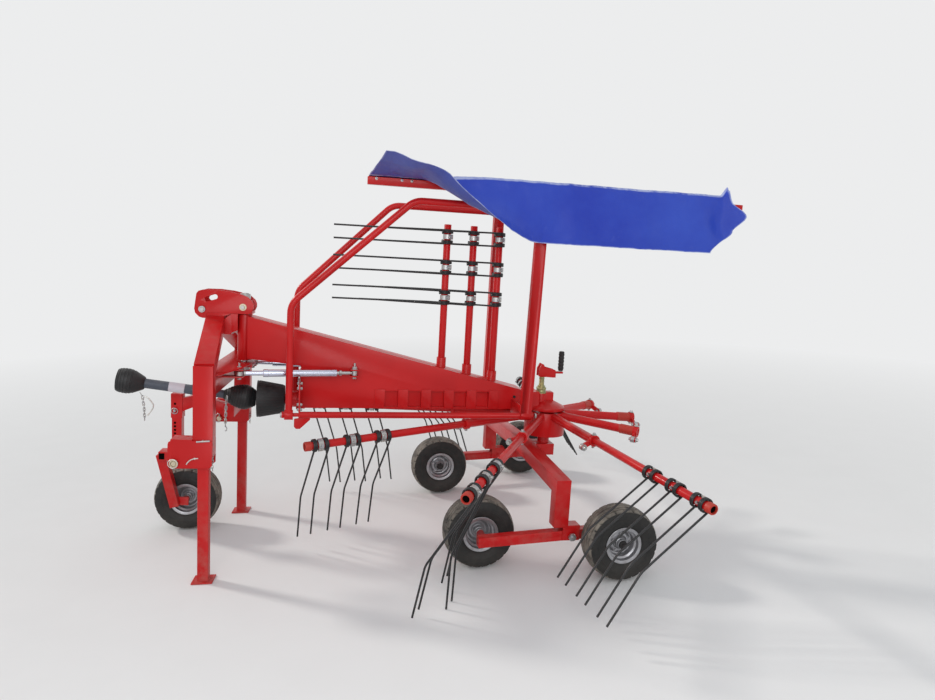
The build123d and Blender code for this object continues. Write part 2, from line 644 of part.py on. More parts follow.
JOCKEY_W = level_place(HEAD, JOCKEY_U, JOCKEY_V, WHEEL_R)
king_plate_bottom = BRIDGE_TOP - KING_PLATE
king_pin = rod((0, 0, king_plate_bottom - KING_NUT), (0, 0, KING_BOSS_TOP + KING_HEAD), KING_PIN_R - 4)
king_pin += rod((0, 0, KING_TUBE_BOTTOM + TOUCH), (0, 0, KING_TUBE_TOP - TOUCH), KING_PIN_R)
king_pin += rod((0, 0, KING_BOSS_TOP), (0, 0, KING_BOSS_TOP + KING_HEAD), KING_NUT_R)
king_pin += rod((0, 0, king_plate_bottom - KING_NUT), (0, 0, king_plate_bottom), KING_NUT_R)

keep("head_frame", HEAD, head_frame())
keep("top_link_bracket", HEAD, *top_link_bracket())
keep("lower_link_clevises", HEAD, *lower_links())
keep("king_pin", HEAD, king_pin)
keep("jockey_carrier", HEAD, jockey_carrier())
wheel("jockey_wheel", HEAD * Pos(JOCKEY_U, JOCKEY_V, JOCKEY_W) * Rot(0, 0, 90))

for side, sign in SIDES:
    foot_w = level_place(HEAD, LEG_U, sign * LEG_V, FOOT_PLATE - 2)
    post = block(
        (LEG_U - STAND_WIDE / 2, sign * LEG_V - STAND_DEEP / 2, foot_w),
        (LEG_U + STAND_WIDE / 2, sign * LEG_V + STAND_DEEP / 2, STAND_TOP),
    )
    under = (HEAD * Pos(LEG_U, sign * LEG_V, foot_w)).position
    foot_place = Pos(under.X, under.Y, FOOT_PLATE / 2) * Rot(0, 0, -HEAD_SWING)
    foot = foot_place * Box(FOOT_LONG, FOOT_WIDE, FOOT_PLATE)
    stand = (HEAD * post) + foot
    keep(f"stand_{side}", Pos(0, 0, 0), stand)


# Drive shaft: input hood on the beam, rear joint and tube, and the front half that slides on it

shaft_plane, shaft_length = run(SHAFT_REAR, SHAFT_FRONT)


def on_shaft(low, high, radius, bore=0.0):
    ring = Circle(radius) - Circle(bore) if bore else Circle(radius)
    return extrude(shaft_plane.offset(low) * ring, amount=high - low)


def on_input(start, end, radius, bore=0.0):
    """A round piece on the gearbox's input shaft, between two distances from the beam's front."""
    low, high = (BEAM_FRONT_X + start, 0, SHAFT_Z), (BEAM_FRONT_X + end, 0, SHAFT_Z)
    return pipe(low, high, radius, bore) if bore else rod(low, high, radius)


def hood_cone(wall):
    rear = Plane(origin=(BEAM_FRONT_X + HOOD_REAR, 0, SHAFT_Z), z_dir=(1, 0, 0))
    return loft([rear * Circle(HOOD_REAR_R - wall), rear.offset(HOOD_LENGTH) * Circle(HOOD_FRONT_R - wall)])


def guard(profile):
    """A round guard over a joint, turned about the shaft."""
    sections = [shaft_plane.offset(distance) * Circle(radius) for distance, radius in profile]
    return loft(sections, ruled=True)


hood = hood_cone(0) - hood_cone(HOOD_WALL)
hood += on_input(HOOD_REAR, HOOD_REAR + HOOD_WALL, HOOD_REAR_R)
hood += on_input(0, HOOD_REAR, BEARING_R)
hood += on_input(0, COLLAR_START + STUB_DEPTH, YOKE_BORE_R)
keep("input_hood", LEAN, hood)
rear_yoke = on_input(COLLAR_START, COLLAR_START + STUB_DEPTH, YOKE_R, YOKE_BORE_R + RUNNING)
rear_yoke += on_input(COLLAR_START + STUB_DEPTH, COLLAR_START + STUB_DEPTH + 50, YOKE_R)
rear_yoke += guard(REAR_GUARD)
keep("shaft_rear", LEAN, rear_yoke + on_shaft(100, SHAFT_TUBE_END, SHAFT_TUBE_R))
yoke = guard((*FRONT_GUARD, (shaft_length + YOKE_HALF, FRONT_GUARD_END_R)))
yoke -= on_shaft(shaft_length - YOKE_HALF, shaft_length + YOKE_HALF + GAP, YOKE_BORE_R)
yoke -= on_shaft(SHAFT_TUBE_END, SLEEVE_END, SHAFT_TUBE_R + RUNNING)
keep("shaft_front", LEAN, on_shaft(SLEEVE_START, SLEEVE_END, SLEEVE_R, SHAFT_TUBE_R + RUNNING) + yoke)


# Swing dampers: the cylinder on the beam, the rod that follows the head's swing

def damper_line(sign):
    """From the rear bolt to where the eye stands on the hitch head, in the frame's axes."""
    eye = (Pos(KING_X, 0, 0) * Rot(0, 0, -HEAD_SWING) * Pos(EYE_U, sign * EYE_V, DAMPER_Z)).position
    return (DAMPER_REAR_X, sign * DAMPER_REAR_Y, DAMPER_Z), tuple(eye)


def ring_at(point, radius, bore, high):
    x, y, z = point
    return pipe((x, y, z - high / 2), (x, y, z + high / 2), radius, bore)


def damper_cylinder(sign):
    rear, eye = damper_line(sign)
    plane, length = run(rear, eye)
    tail = 12
    barrel_length = length * CYLINDER_SHARE - DAMPER_START
    barrel = extrude(plane.offset(DAMPER_START) * Circle(DAMPER_R), amount=barrel_length)
    barrel += extrude(plane.offset(tail) * Circle(DAMPER_TAIL_R), amount=DAMPER_START)
    barrel -= extrude(plane.offset(length - ROD_LENGTH - ROD_INWARD) * Circle(ROD_R + RUNNING), amount=length)
    return barrel + ring_at(rear, 16, DAMPER_PIN_R + RUNNING, 24)


def damper_rod(sign):
    rear, eye = damper_line(sign)
    plane, length = run(rear, eye)
    slider = extrude(plane.offset(length - ROD_LENGTH) * Circle(ROD_R), amount=ROD_LENGTH - EYE_R + 4)
    return slider + ring_at(eye, EYE_R, EYE_BORE_R, EYE_HIGH)


for side, sign in SIDES:
    keep(f"damper_cylinder_{side}", LEAN, damper_cylinder(sign))
    keep(f"damper_rod_{side}", LEAN, damper_rod(sign))


# Guard hoops, their carriers, and the curtain on its bar

# side, sign, front X, front bend Z, upper bend X, rear post X at its foot and top,
# which side of the rear post its ear stands on
HOOPS = (
    ("left", 1, 1490.0, 1262.0, 878.0, 204.0, 179.0, 1),
    ("right", -1, 1466.0, 1300.0, 935.0, 300.0, 292.0, -1),
)


def hoop(sign, front_x, bend_z, upper_x, foot_x, top_x):
    y = sign * HOOP_Y
    line = FilletPolyline(
        (front_x, y, HOOP_PIVOT_Z), (front_x, y, bend_z), (upper_x, y, HOOP_TOP_Z), (top_x + 20, y, HOOP_TOP_Z),
        radius=HOOP_BEND_R,
    )
    tube = sweep(Plane(origin=(front_x, y, HOOP_PIVOT_Z), z_dir=(0, 0, 1)) * Circle(HOOP_TUBE_R), path=line)
    post = bar((foot_x, y, HOOP_PIVOT_Z), (top_x, y, HOOP_TOP_Z + 20), POST_LONG, POST_WIDE, side=(1, 0, 0))
    body = tube + post
    for x, half in ((front_x, FOOT_HALF), (foot_x, POST_LONG / 2)):
        body += rod((x - half, y, HOOP_PIVOT_Z), (x + half, y, HOOP_PIVOT_Z), FOOT_EYE_R)
        body -= rod((x - 2 * half, y, HOOP_PIVOT_Z), (x + 2 * half, y, HOOP_PIVOT_Z), PIVOT_PIN_R + RUNNING)
    return body


def hoop_carrier(sign, front_x, foot_x, ear_side):
    """The fixed tube between a hoop's two feet, with its ears on the beam and a pin at each end."""
    y = sign * HOOP_Y
    rear_reach = POST_LONG / 2 + GAP
    tube_start = foot_x + rear_reach
    body = rod((tube_start, y, HOOP_PIVOT_Z), (BEAM_FRONT_X + EAR, y, HOOP_PIVOT_Z), CARRIER_R)
    ear_x = foot_x + ear_side * rear_reach
    rear_ear = sorted((ear_x, ear_x + ear_side * EAR))
    front_ear = BEAM_FRONT_X, BEAM_FRONT_X + EAR
    ears = ((rear_ear, BEAM_WIDTH / 2, REAR_EAR_TOP), (front_ear, BEARING_R, FRONT_EAR_TOP))
    for (x_low, x_high), inner, ear_top in ears:
        y_low, y_high = sorted((sign * inner, y + sign * CARRIER_R))
        body += block((x_low, y_low, HOOP_PIVOT_Z - CARRIER_R), (x_high, y_high, ear_top))
    y_low, y_high = sorted((y - sign * 4, y - sign * 12))
    body += plate_xz(GUSSET_OUTLINE, y_low, y_high)
    ends = ((foot_x - rear_reach - EAR, tube_start), (BEAM_FRONT_X, front_x + FOOT_HALF + GAP))
    for x_low, x_high in ends:
        body += rod((x_low, y, HOOP_PIVOT_Z), (x_high, y, HOOP_PIVOT_Z), PIVOT_PIN_R)
    head_x = front_x + FOOT_HALF + GAP
    body += rod((head_x, y, HOOP_PIVOT_Z), (head_x + PIN_HEAD, y, HOOP_PIVOT_Z), PIN_HEAD_R)
    head_x = foot_x - rear_reach
    body += rod((head_x - PIN_HEAD, y, HOOP_PIVOT_Z), (head_x, y, HOOP_PIVOT_Z), PIN_HEAD_R)
    return body


for side, sign, front_x, bend_z, upper_x, foot_x, top_x, _ in HOOPS:
    keep(f"hoop_{side}", LEAN, hoop(sign, front_x, bend_z, upper_x, foot_x, top_x))
keep("hoop_carriers", LEAN, *[hoop_carrier(row[1], row[2], row[5], row[7]) for row in HOOPS])

half = CURTAIN_BAR / 2
low_corner = (CURTAIN_BAR_REAR, HOOP_Y - half, BAR_Z - half)
curtain_bar = block(low_corner, (CURTAIN_BAR_FRONT, HOOP_Y + half, BAR_Z + half))
for x in BAR_FEET_X:
    low_corner = (x, HOOP_Y - BAR_FOOT / 2, HOOP_TOP_Z + HOOP_TUBE_R + TOUCH)
    curtain_bar += block(low_corner, (x + BAR_FOOT_LONG, HOOP_Y + BAR_FOOT / 2, BAR_Z))
keep("curtain_bar", LEAN, curtain_bar)

# The cloth is screwed to the bar's top along its far edge and falls over the near side

def cloth_line(start_slope, end_slope, crown):
    """The middle of the cloth as (y, z), from its far edge over the bar to its near one."""
    base = BAR_Z + CURTAIN_BAR / 2 + TOUCH + CLOTH / 2
    far, near = HOOP_Y - CURTAIN_BAR / 2, HOOP_Y + CURTAIN_BAR / 2
    line = [(far + 1, base), (far + 12, base), (far + 18, base + crown), (near - 8, base + crown + 6)]
    y, z = near + 8, base + crown / 2
    line.append((y, z))
    for step in range(FLAP_STEPS):
        slope = radians(start_slope + (end_slope - start_slope) * (step + 0.5) / FLAP_STEPS)
        y += FLAP / FLAP_STEPS * cos(slope)
        z -= FLAP / FLAP_STEPS * sin(slope)
        line.append((y, z))
    return line


def thickened(line, thickness):
    """The line's closed outline, half the thickness to each side of it."""
    upper, lower = [], []
    for index, (y, z) in enumerate(line):
        before, after = line[max(index - 1, 0)], line[min(index + 1, len(line) - 1)]
        along = Vector(after[0] - before[0], after[1] - before[1], 0).normalized()
        upper.append((y - along.Y * thickness / 2, z + along.X * thickness / 2))
        lower.append((y + along.Y * thickness / 2, z - along.X * thickness / 2))
    return upper + lower[::-1]


cloth_faces = []
for x, start_slope, end_slope, crown in CLOTH_SECTIONS:
    outline = thickened(cloth_line(start_slope, end_slope, crown), CLOTH)
    across = Plane(origin=(x, 0, 0), x_dir=(0, 1, 0), z_dir=(1, 0, 0))
    cloth_faces.append(across * make_face(Polyline(*outline, close=True)))
keep("curtain", LEAN, loft(cloth_faces, ruled=True))


# The origin is the middle of the whole machine's box, on the ground

boxes = [shape.bounding_box() for shape in nodes.values()]
low = [min(getattr(box.min, axis) for box in boxes) for axis in "XYZ"]
high = [max(getattr(box.max, axis) for box in boxes) for axis in "XYZ"]
SHIFT = (-(low[0] + high[0]) / 2, -(low[1] + high[1]) / 2, -low[2])

os.makedirs("parts", exist_ok=True)
for name, shape in nodes.items():
    export_step(Pos(*SHIFT) * shape, f"parts/{name}.step")


def place(label, where, point=(0, 0, 0), way=(0, 0, 1)):
    """Prints a point and a direction in the part's frame, in metres."""
    at = (Pos(*SHIFT) * where * Pos(*point)).position
    tip = (where * Pos(*way)).position - (where * Pos(0, 0, 0)).position
    print(label, [round(v / 1000, 6) for v in at], [round(v, 6) for v in tip])


print("size", [round(b - a, 2) for a, b in zip(low, high)], "ground", round(low[2], 3))
place("rotor", LEAN, (0, 0, ARM_AXIS_Z))
place("king", HEAD, (0, 0, KING_TUBE_BOTTOM))
place("yoke", LEAN, tuple(shaft_plane.offset(shaft_length + 5).origin), tuple(shaft_plane.z_dir))
place("shaft", LEAN, SHAFT_REAR, tuple(shaft_plane.z_dir))
for side, sign in SIDES:
    place(f"bogie_{side}", Pos(0, 0, 0), (BOGIE_PIVOT_X, sign * BAR_Y, WHEEL_R), (0, 1, 0))
    place(f"front_wheel_{side}", Pos(0, 0, 0), (FRONT_WHEEL_X, sign * FRONT_WHEEL_Y, WHEEL_R), (0, 1, 0))
    place(f"rear_wheel_{side}", Pos(0, 0, 0), (REAR_WHEEL_X, sign * REAR_WHEEL_Y, WHEEL_R), (0, 1, 0))
    place(f"hoop_{side}", LEAN, (0, sign * HOOP_Y, HOOP_PIVOT_Z), (1, 0, 0))
    place(f"stand_{side}", HEAD, (LEG_U, sign * LEG_V, 0), (0, 0, 1))
    rear, eye = damper_line(sign)
    damper_plane, _ = run(rear, eye)
    place(f"damper_{side}", LEAN, rear, tuple(damper_plane.z_dir))
for side, sign, u, w in LINK_HOLES:
    place(f"link_{side}", HEAD, (u, sign * LEG_V, w), (0, sign, 0))
place("jockey_wheel", HEAD, (JOCKEY_U, JOCKEY_V, JOCKEY_W), (0, 1, 0))
place("top_link", HEAD, (TOP_LINK_UW[0], 0, TOP_LINK_UW[1]), (0, 1, 0))
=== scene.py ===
"""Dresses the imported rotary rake: camera, light, finishes and the detail that the solids leave out."""

import json
import math

import bmesh
import bpy
from mathutils import Matrix, Vector, noise


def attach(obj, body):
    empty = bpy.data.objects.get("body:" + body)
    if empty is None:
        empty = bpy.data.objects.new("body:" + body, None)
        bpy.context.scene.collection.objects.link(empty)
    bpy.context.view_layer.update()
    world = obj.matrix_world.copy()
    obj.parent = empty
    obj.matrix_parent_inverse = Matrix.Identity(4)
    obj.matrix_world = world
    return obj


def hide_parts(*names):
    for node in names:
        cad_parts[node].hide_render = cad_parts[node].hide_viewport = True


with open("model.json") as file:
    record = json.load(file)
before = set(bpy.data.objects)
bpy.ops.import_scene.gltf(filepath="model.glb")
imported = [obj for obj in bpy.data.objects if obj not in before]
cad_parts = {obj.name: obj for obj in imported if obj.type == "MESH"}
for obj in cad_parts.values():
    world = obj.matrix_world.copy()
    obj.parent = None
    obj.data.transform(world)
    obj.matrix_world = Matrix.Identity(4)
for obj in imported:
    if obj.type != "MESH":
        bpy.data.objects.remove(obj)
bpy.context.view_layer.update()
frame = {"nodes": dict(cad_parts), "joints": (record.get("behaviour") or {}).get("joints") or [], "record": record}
joints = {joint["name"]: joint for joint in frame["joints"]}
rad = math.radians

# Places: the machine's own axes are those of its frame, which leans back by FRAME_LEAN when it is parked.
FRAME_LEAN = rad(3.2)
HEAD_SWING = rad(5.9)
ARM_AXIS_Z = 0.6456
HUB_HEIGHT = 0.6
KING_X, KING_BOTTOM = 1.733, 0.932


def shift(x, y, z):
    return Matrix.Translation((x, y, z))


def turn(angle, axis):
    return Matrix.Rotation(angle, 4, axis)


# Bolts, nuts and rods are made along X; these turn them to look another way.
LEFTWARD, RIGHTWARD = turn(math.pi / 2, "Z"), turn(-math.pi / 2, "Z")
UPWARD, DOWNWARD, REARWARD = turn(-math.pi / 2, "Y"), turn(math.pi / 2, "Y"), turn(math.pi, "Z")
LYING = turn(-math.pi / 2, "X")     # a plate drawn in X and Z then lies flat, drawn in X and Y
SIDES = (("left", 1, LEFTWARD), ("right", -1, RIGHTWARD))


rotor_at = Vector(joints["rotor_spin"]["pos_m"])
FRAME = shift(*rotor_at) @ turn(-FRAME_LEAN, "Y") @ shift(0, 0, -ARM_AXIS_Z)
HEAD = shift(*joints["head_swing"]["pos_m"]) @ turn(-FRAME_LEAN, "Y") @ turn(-HEAD_SWING, "Z")
HEAD = HEAD @ shift(0, 0, -KING_BOTTOM)
GROUND = shift(rotor_at.x + math.sin(FRAME_LEAN) * (ARM_AXIS_Z - HUB_HEIGHT), rotor_at.y, 0)

ARM_PITCH = rad(40)
ARM_FIRST = rad(99.04)
ARM_DROOP = rad(2.65)
ARM_END = 1.479
ARM_ROLLS = (52, 37, 36, 36, 41, 51)
ARM_COUNT = 9
ARM_TUBE_R = 0.020
TINE_STATIONS = (1.070, 1.240, 1.410)
STUB_END = 0.569


def arm_place(index):
    return FRAME @ turn(ARM_FIRST - ARM_PITCH * index, "Z") @ shift(0, 0, ARM_AXIS_Z) @ turn(ARM_DROOP, "Y")


# Camera

CAMERA_FROM_ROTOR = (1.3527, 3.9491, 1.63)
VIEW_AZIMUTH = math.atan2(-0.9761, -0.2171)
VIEW_PITCH = rad(-8.31)
camera_data = bpy.data.cameras.new("camera")
camera_data.lens = 27.18
camera_data.sensor_width = 36.0
camera_data.clip_end = 200
camera = bpy.data.objects.new("camera", camera_data)
bpy.context.scene.view_settings.view_transform = "Standard"
bpy.context.scene.collection.objects.link(camera)
view_line = Vector((
    math.cos(VIEW_AZIMUTH) * math.cos(VIEW_PITCH), math.sin(VIEW_AZIMUTH) * math.cos(VIEW_PITCH), math.sin(VIEW_PITCH),
))
camera.matrix_world = GROUND @ shift(*CAMERA_FROM_ROTOR) @ view_line.to_track_quat("-Z", "Y").to_matrix().to_4x4()
bpy.context.scene.camera = camera


# Finishes

class Wire:
    """An output socket, whose sums and products add Math nodes."""

    def __init__(self, finish, socket):
        self.finish, self.socket = finish, socket

    def maths(self, operation, *values):
        return self.finish.add("Math", {"operation": operation}, dict(enumerate(values)))

    def __add__(self, other):
        return self.maths("ADD", self, other)

    def __sub__(self, other):
        return self.maths("SUBTRACT", self, other)

    def __rsub__(self, other):
        return self.maths("SUBTRACT", other, self)

    def __mul__(self, other):
        return self.maths("MULTIPLY", self, other)

    __radd__, __rmul__ = __add__, __mul__

    def __pow__(self, other):
        return self.maths("POWER", self, other)

    def between(self, low, high):
        """0 at low, 1 at high, held there beyond them."""
        limits = {"From Min": low, "From Max": high}
        return self.finish.add("MapRange", {"clamp": True}, {"Value": self, **limits})


class Finish:
    """A material; fixed sockets are set by name, and what varies is laid on afterwards."""

    def __init__(self, name, **fixed):
        self.material = bpy.data.materials.new(name)
        self.material.use_nodes = True
        self.tree = self.material.node_tree
        self.shader = self.tree.nodes["Principled BSDF"]
        for socket, value in fixed.items():
            self.lay(socket.replace("_", " "), value)

    def add(self, kind, settings=None, inputs=None, output=0):
        node = self.tree.nodes.new("ShaderNode" + kind)
        for name, value in (settings or {}).items():
            if name == "stops":
                ramp = node.color_ramp
                while len(ramp.elements) < len(value):
                    ramp.elements.new(0.5)
                for element, (place, colour) in zip(ramp.elements, value):
                    element.position, element.color = place, (*colour, 1)
            else:
                setattr(node, name, value)
        for name, value in (inputs or {}).items():
            if isinstance(value, Wire):
                self.tree.links.new(value.socket, node.inputs[name])
            else:
                node.inputs[name].default_value = value
        return Wire(self, node.outputs[output])

    def lay(self, socket, value):
        if isinstance(value, Wire):
            self.tree.links.new(value.socket, self.shader.inputs[socket])
        elif isinstance(value, (tuple, list)):
            self.shader.inputs[socket].default_value = (*value, 1)
        else:
            self.shader.inputs[socket].default_value = value

    def where(self):
        return self.add("TexCoord", output=3)

    def speckle(self, scale, detail=3.0, roughness=0.55, stretch=None):
        """Noise from 0 to 1 over the object, its grain 1 / scale metres."""
        vector = self.where()
        if stretch:
            vector = self.add("VectorMath", {"operation": "MULTIPLY"}, {0: vector, 1: stretch})
        values = {"Vector": vector, "Scale": scale, "Detail": detail, "Roughness": roughness}
        return self.add("TexNoise", inputs=values)

    def height(self):
        """How far above the ground, in metres."""
        return self.add("SeparateXYZ", inputs={0: self.where()}, output=2)

    def upward(self):
        """1 on faces that look up, 0 on walls and undersides."""
        normal = self.add("NewGeometry", output=1)
        return self.add("SeparateXYZ", inputs={0: normal}, output=2).between(0.2, 0.95)

    def blend(self, factor, first, second):
        settings = {"data_type": "RGBA"}
        colours = [value if isinstance(value, Wire) else (*value, 1) for value in (first, second)]
        return self.add("Mix", settings, {0: factor, 6: colours[0], 7: colours[1]}, output=2)

    def bump(self, height, distance, strength=1.0):
        normal = self.add("Bump", inputs={"Strength": strength, "Distance": distance, "Height": height})
        self.lay("Normal", normal)
        return normal


def edge_wear(finish, width, amount):
    """1 where a corner is within width, broken up by noise."""
    rounded = finish.add("Bevel", {"samples": 4}, {"Radius": width})
    flat = finish.add("NewGeometry", output=1)
    likeness = finish.add("VectorMath", {"operation": "DOT_PRODUCT"}, {0: rounded, 1: flat}, output=1)
    return (1 - likeness).between(0.02, 0.2) * finish.speckle(60, 4).between(0.62 - amount, 0.7)


RED = (0.56, 0.010, 0.012)
DUST = (0.30, 0.25, 0.20)


def painted_red():
    """Bright powder coat: even and glossy, with a faint orange peel and a little dust low down."""
    f = Finish("red_paint", IOR=1.45, Coat_Roughness=0.12, Coat_Weight=0.10, Specular_IOR_Level=0.25)
    tone = f.blend(f.speckle(3.0, 2).between(0.3, 0.7), (0.47, 0.007, 0.008), (0.57, 0.010, 0.011))
    low_dust = (1 - f.height().between(0.02, 0.55)) * f.speckle(14, 5, 0.65).between(0.42, 0.75)
    dust = low_dust * 0.38 + f.upward() * f.speckle(22, 4, 0.6).between(0.45, 0.8) * 0.16
    f.lay("Base Color", f.blend(dust, tone, DUST))
    f.lay("Roughness", f.speckle(35, 3).between(0.2, 0.8) * 0.10 + 0.27 + dust * 0.5)
    f.bump(f.speckle(420, 2), 0.00025, 0.5)
    return f.material


def powder_black():
    """The tines' satin black coat, rubbed to steel near the ground."""
    f = Finish("tine_black", IOR=1.5, Specular_IOR_Level=0.5)
    rub = (1 - f.height().between(0.05, 0.22)) * f.speckle(90, 4).between(0.5, 0.7)
    f.lay("Base Color", f.blend(rub, (0.007, 0.007, 0.008), (0.08, 0.075, 0.07)))
    f.lay("Roughness", f.speckle(120, 3) * 0.2 + 0.30)
    f.bump(f.speckle(700, 2), 0.0002, 0.4)
    return f.material


def plated(name, base, warm, roughness):
    """Zinc plating: bright metal with cloudy passivation."""
    f = Finish(name, Metallic=1.0)
    f.lay("Base Color", f.blend(f.speckle(60, 4, 0.6).between(0.35, 0.7), base, warm))
    f.lay("Roughness", f.speckle(150, 3) * 0.16 + roughness)
    f.bump(f.speckle(900, 2), 0.0001, 0.3)
    return f.material


def moulded(name, colour, lighter, roughness, grain=0.0002):
    """Moulded plastic or rubber with a fine grain and a dusty bloom on top."""
    f = Finish(name, IOR=1.48, Specular_IOR_Level=0.5)
    bloom = f.upward() * f.speckle(30, 4).between(0.35, 0.75) * 0.5
    f.lay("Base Color", f.blend(bloom, colour, lighter))
    f.lay("Roughness", f.speckle(80, 3) * 0.2 + roughness)
    f.bump(f.speckle(900, 3), grain, 0.5)
    return f.material


def tyre_rubber():
    """Black rubber, greyed by dust on the tread and in the mould marks."""
    f = Finish("tyre_rubber", IOR=1.5, Specular_IOR_Level=0.4)
    dust = f.speckle(25, 5, 0.65).between(0.35, 0.8) * 0.30
    low = (1 - f.height().between(0.0, 0.16)) * 0.30
    rubber = f.blend(dust + low, (0.010, 0.010, 0.010), (0.070, 0.062, 0.052))
    tread_dust = f.add("Attribute", {"attribute_name": "tread"}, output=2) * f.speckle(18, 4).between(0.25, 0.6) * 0.75
    f.lay("Base Color", f.blend(tread_dust, rubber, (0.27, 0.24, 0.20)))
    f.lay("Roughness", f.speckle(60, 3) * 0.2 + 0.52)
    f.bump(f.speckle(500, 3), 0.0003, 0.6)
    return f.material


def rim_silver():
    """Aluminium-coloured wheel paint, darkened in noisy patches by dirt and by painted shade, and rougher there."""
    f = Finish("rim_silver", Metallic=0.75)
    # Dark noisy patches: dirt, and painted shade standing for the shade on the discs.
    dirt_and_shade = f.speckle(40, 5, 0.65).between(0.4, 0.75) * 0.5
    f.lay("Base Color", f.blend(dirt_and_shade, (0.40, 0.40, 0.42), (0.15, 0.13, 0.115)))
    f.lay("Roughness", dirt_and_shade * 0.3 + 0.34)
    f.bump(f.speckle(600, 2), 0.0002, 0.4)
    return f.material


def tarpaulin():
    """Coated cloth: a fine square weave under a smooth blue skin, with soft creases; its underside is painted a duller
    blue as shade, and its edges and crown carry painted highlights.
    """
    f = Finish("tarpaulin", IOR=1.5, Specular_IOR_Level=0.3)
    along = f.add("TexWave", {"bands_direction": "X"}, {"Vector": f.where(), "Scale": 330, "Detail": 0})
    across = f.add("TexWave", {"bands_direction": "Z"}, {"Vector": f.where(), "Scale": 330, "Detail": 0})
    faded = f.speckle(2.2, 4, 0.6).between(0.3, 0.75)
    tone = f.blend(faded, (0.018, 0.045, 0.42), (0.036, 0.085, 0.52))
    rubbed = f.speckle(7, 6, 0.7).between(0.62, 0.8) * 0.30
    coated = f.blend(rubbed, tone, (0.14, 0.19, 0.55))
    # Painted shade: the underside gets a duller, greyer blue than the top.
    shaded_underside = f.blend(faded, (0.040, 0.066, 0.33), (0.095, 0.135, 0.44))
    under = f.add("Attribute", {"attribute_name": "underside"}, output=2)
    # A painted highlight: pale lavender along the cloth's free edge, its side edges and a band on its crown, broken up
    # by noise.
    hem = f.add("Attribute", {"attribute_name": "hem"}, output=2) * f.speckle(14, 3, 0.6).between(0.30, 0.55)
    f.lay("Base Color", f.blend(hem, f.blend(under, coated, shaded_underside), (0.50, 0.56, 0.78)))
    f.lay("Roughness", f.speckle(9, 4).between(0.2, 0.8) * 0.14 + 0.30)
    f.bump((along + across) * 0.12 + f.speckle(16, 4, 0.6) * 2.2, 0.0014, 0.6)
    return f.material


red = painted_red()
black_tine = powder_black()
zinc = plated("zinc", (0.40, 0.41, 0.44), (0.50, 0.48, 0.43), 0.30)
yellow_zinc = plated("yellow_zinc", (0.62, 0.54, 0.38), (0.50, 0.45, 0.36), 0.36)
bare_clip = plated("clip_steel", (0.62, 0.61, 0.58), (0.72, 0.70, 0.66), 0.30)
# Both of the chrome's colours are tinted blue: a painted reflection of sky.
chrome = plated("chrome", (0.55, 0.58, 0.70), (0.64, 0.66, 0.76), 0.13)
brass = plated("brass", (0.40, 0.35, 0.16), (0.26, 0.29, 0.17), 0.34)
guard_black = moulded("guard_black", (0.012, 0.012, 0.013), (0.10, 0.095, 0.09), 0.42)
tube_grey = moulded("tube_grey", (0.060, 0.072, 0.095), (0.16, 0.16, 0.17), 0.40)
grip_black = moulded("grip_black", (0.014, 0.012, 0.012), (0.05, 0.045, 0.04), 0.55)
# Near-black and without reflection: painted shade, laid in holes and hollows where shade falls.
painted_hole_shade = moulded("painted_hole_shade", (0.004, 0.003, 0.003), (0.01, 0.008, 0.008), 0.8)
painted_hole_shade.node_tree.nodes["Principled BSDF"].inputs["Specular IOR Level"].default_value = 0.0
label_grey = moulded("bare_label", (0.56, 0.55, 0.60), (0.66, 0.65, 0.66), 0.45, 0.00005)
cap_red = moulded("cap_red", (0.42, 0.022, 0.010), (0.34, 0.07, 0.045), 0.42)
tyre_black = tyre_rubber()
wheel_silver = rim_silver()
blue_cloth = tarpaulin()


# Making

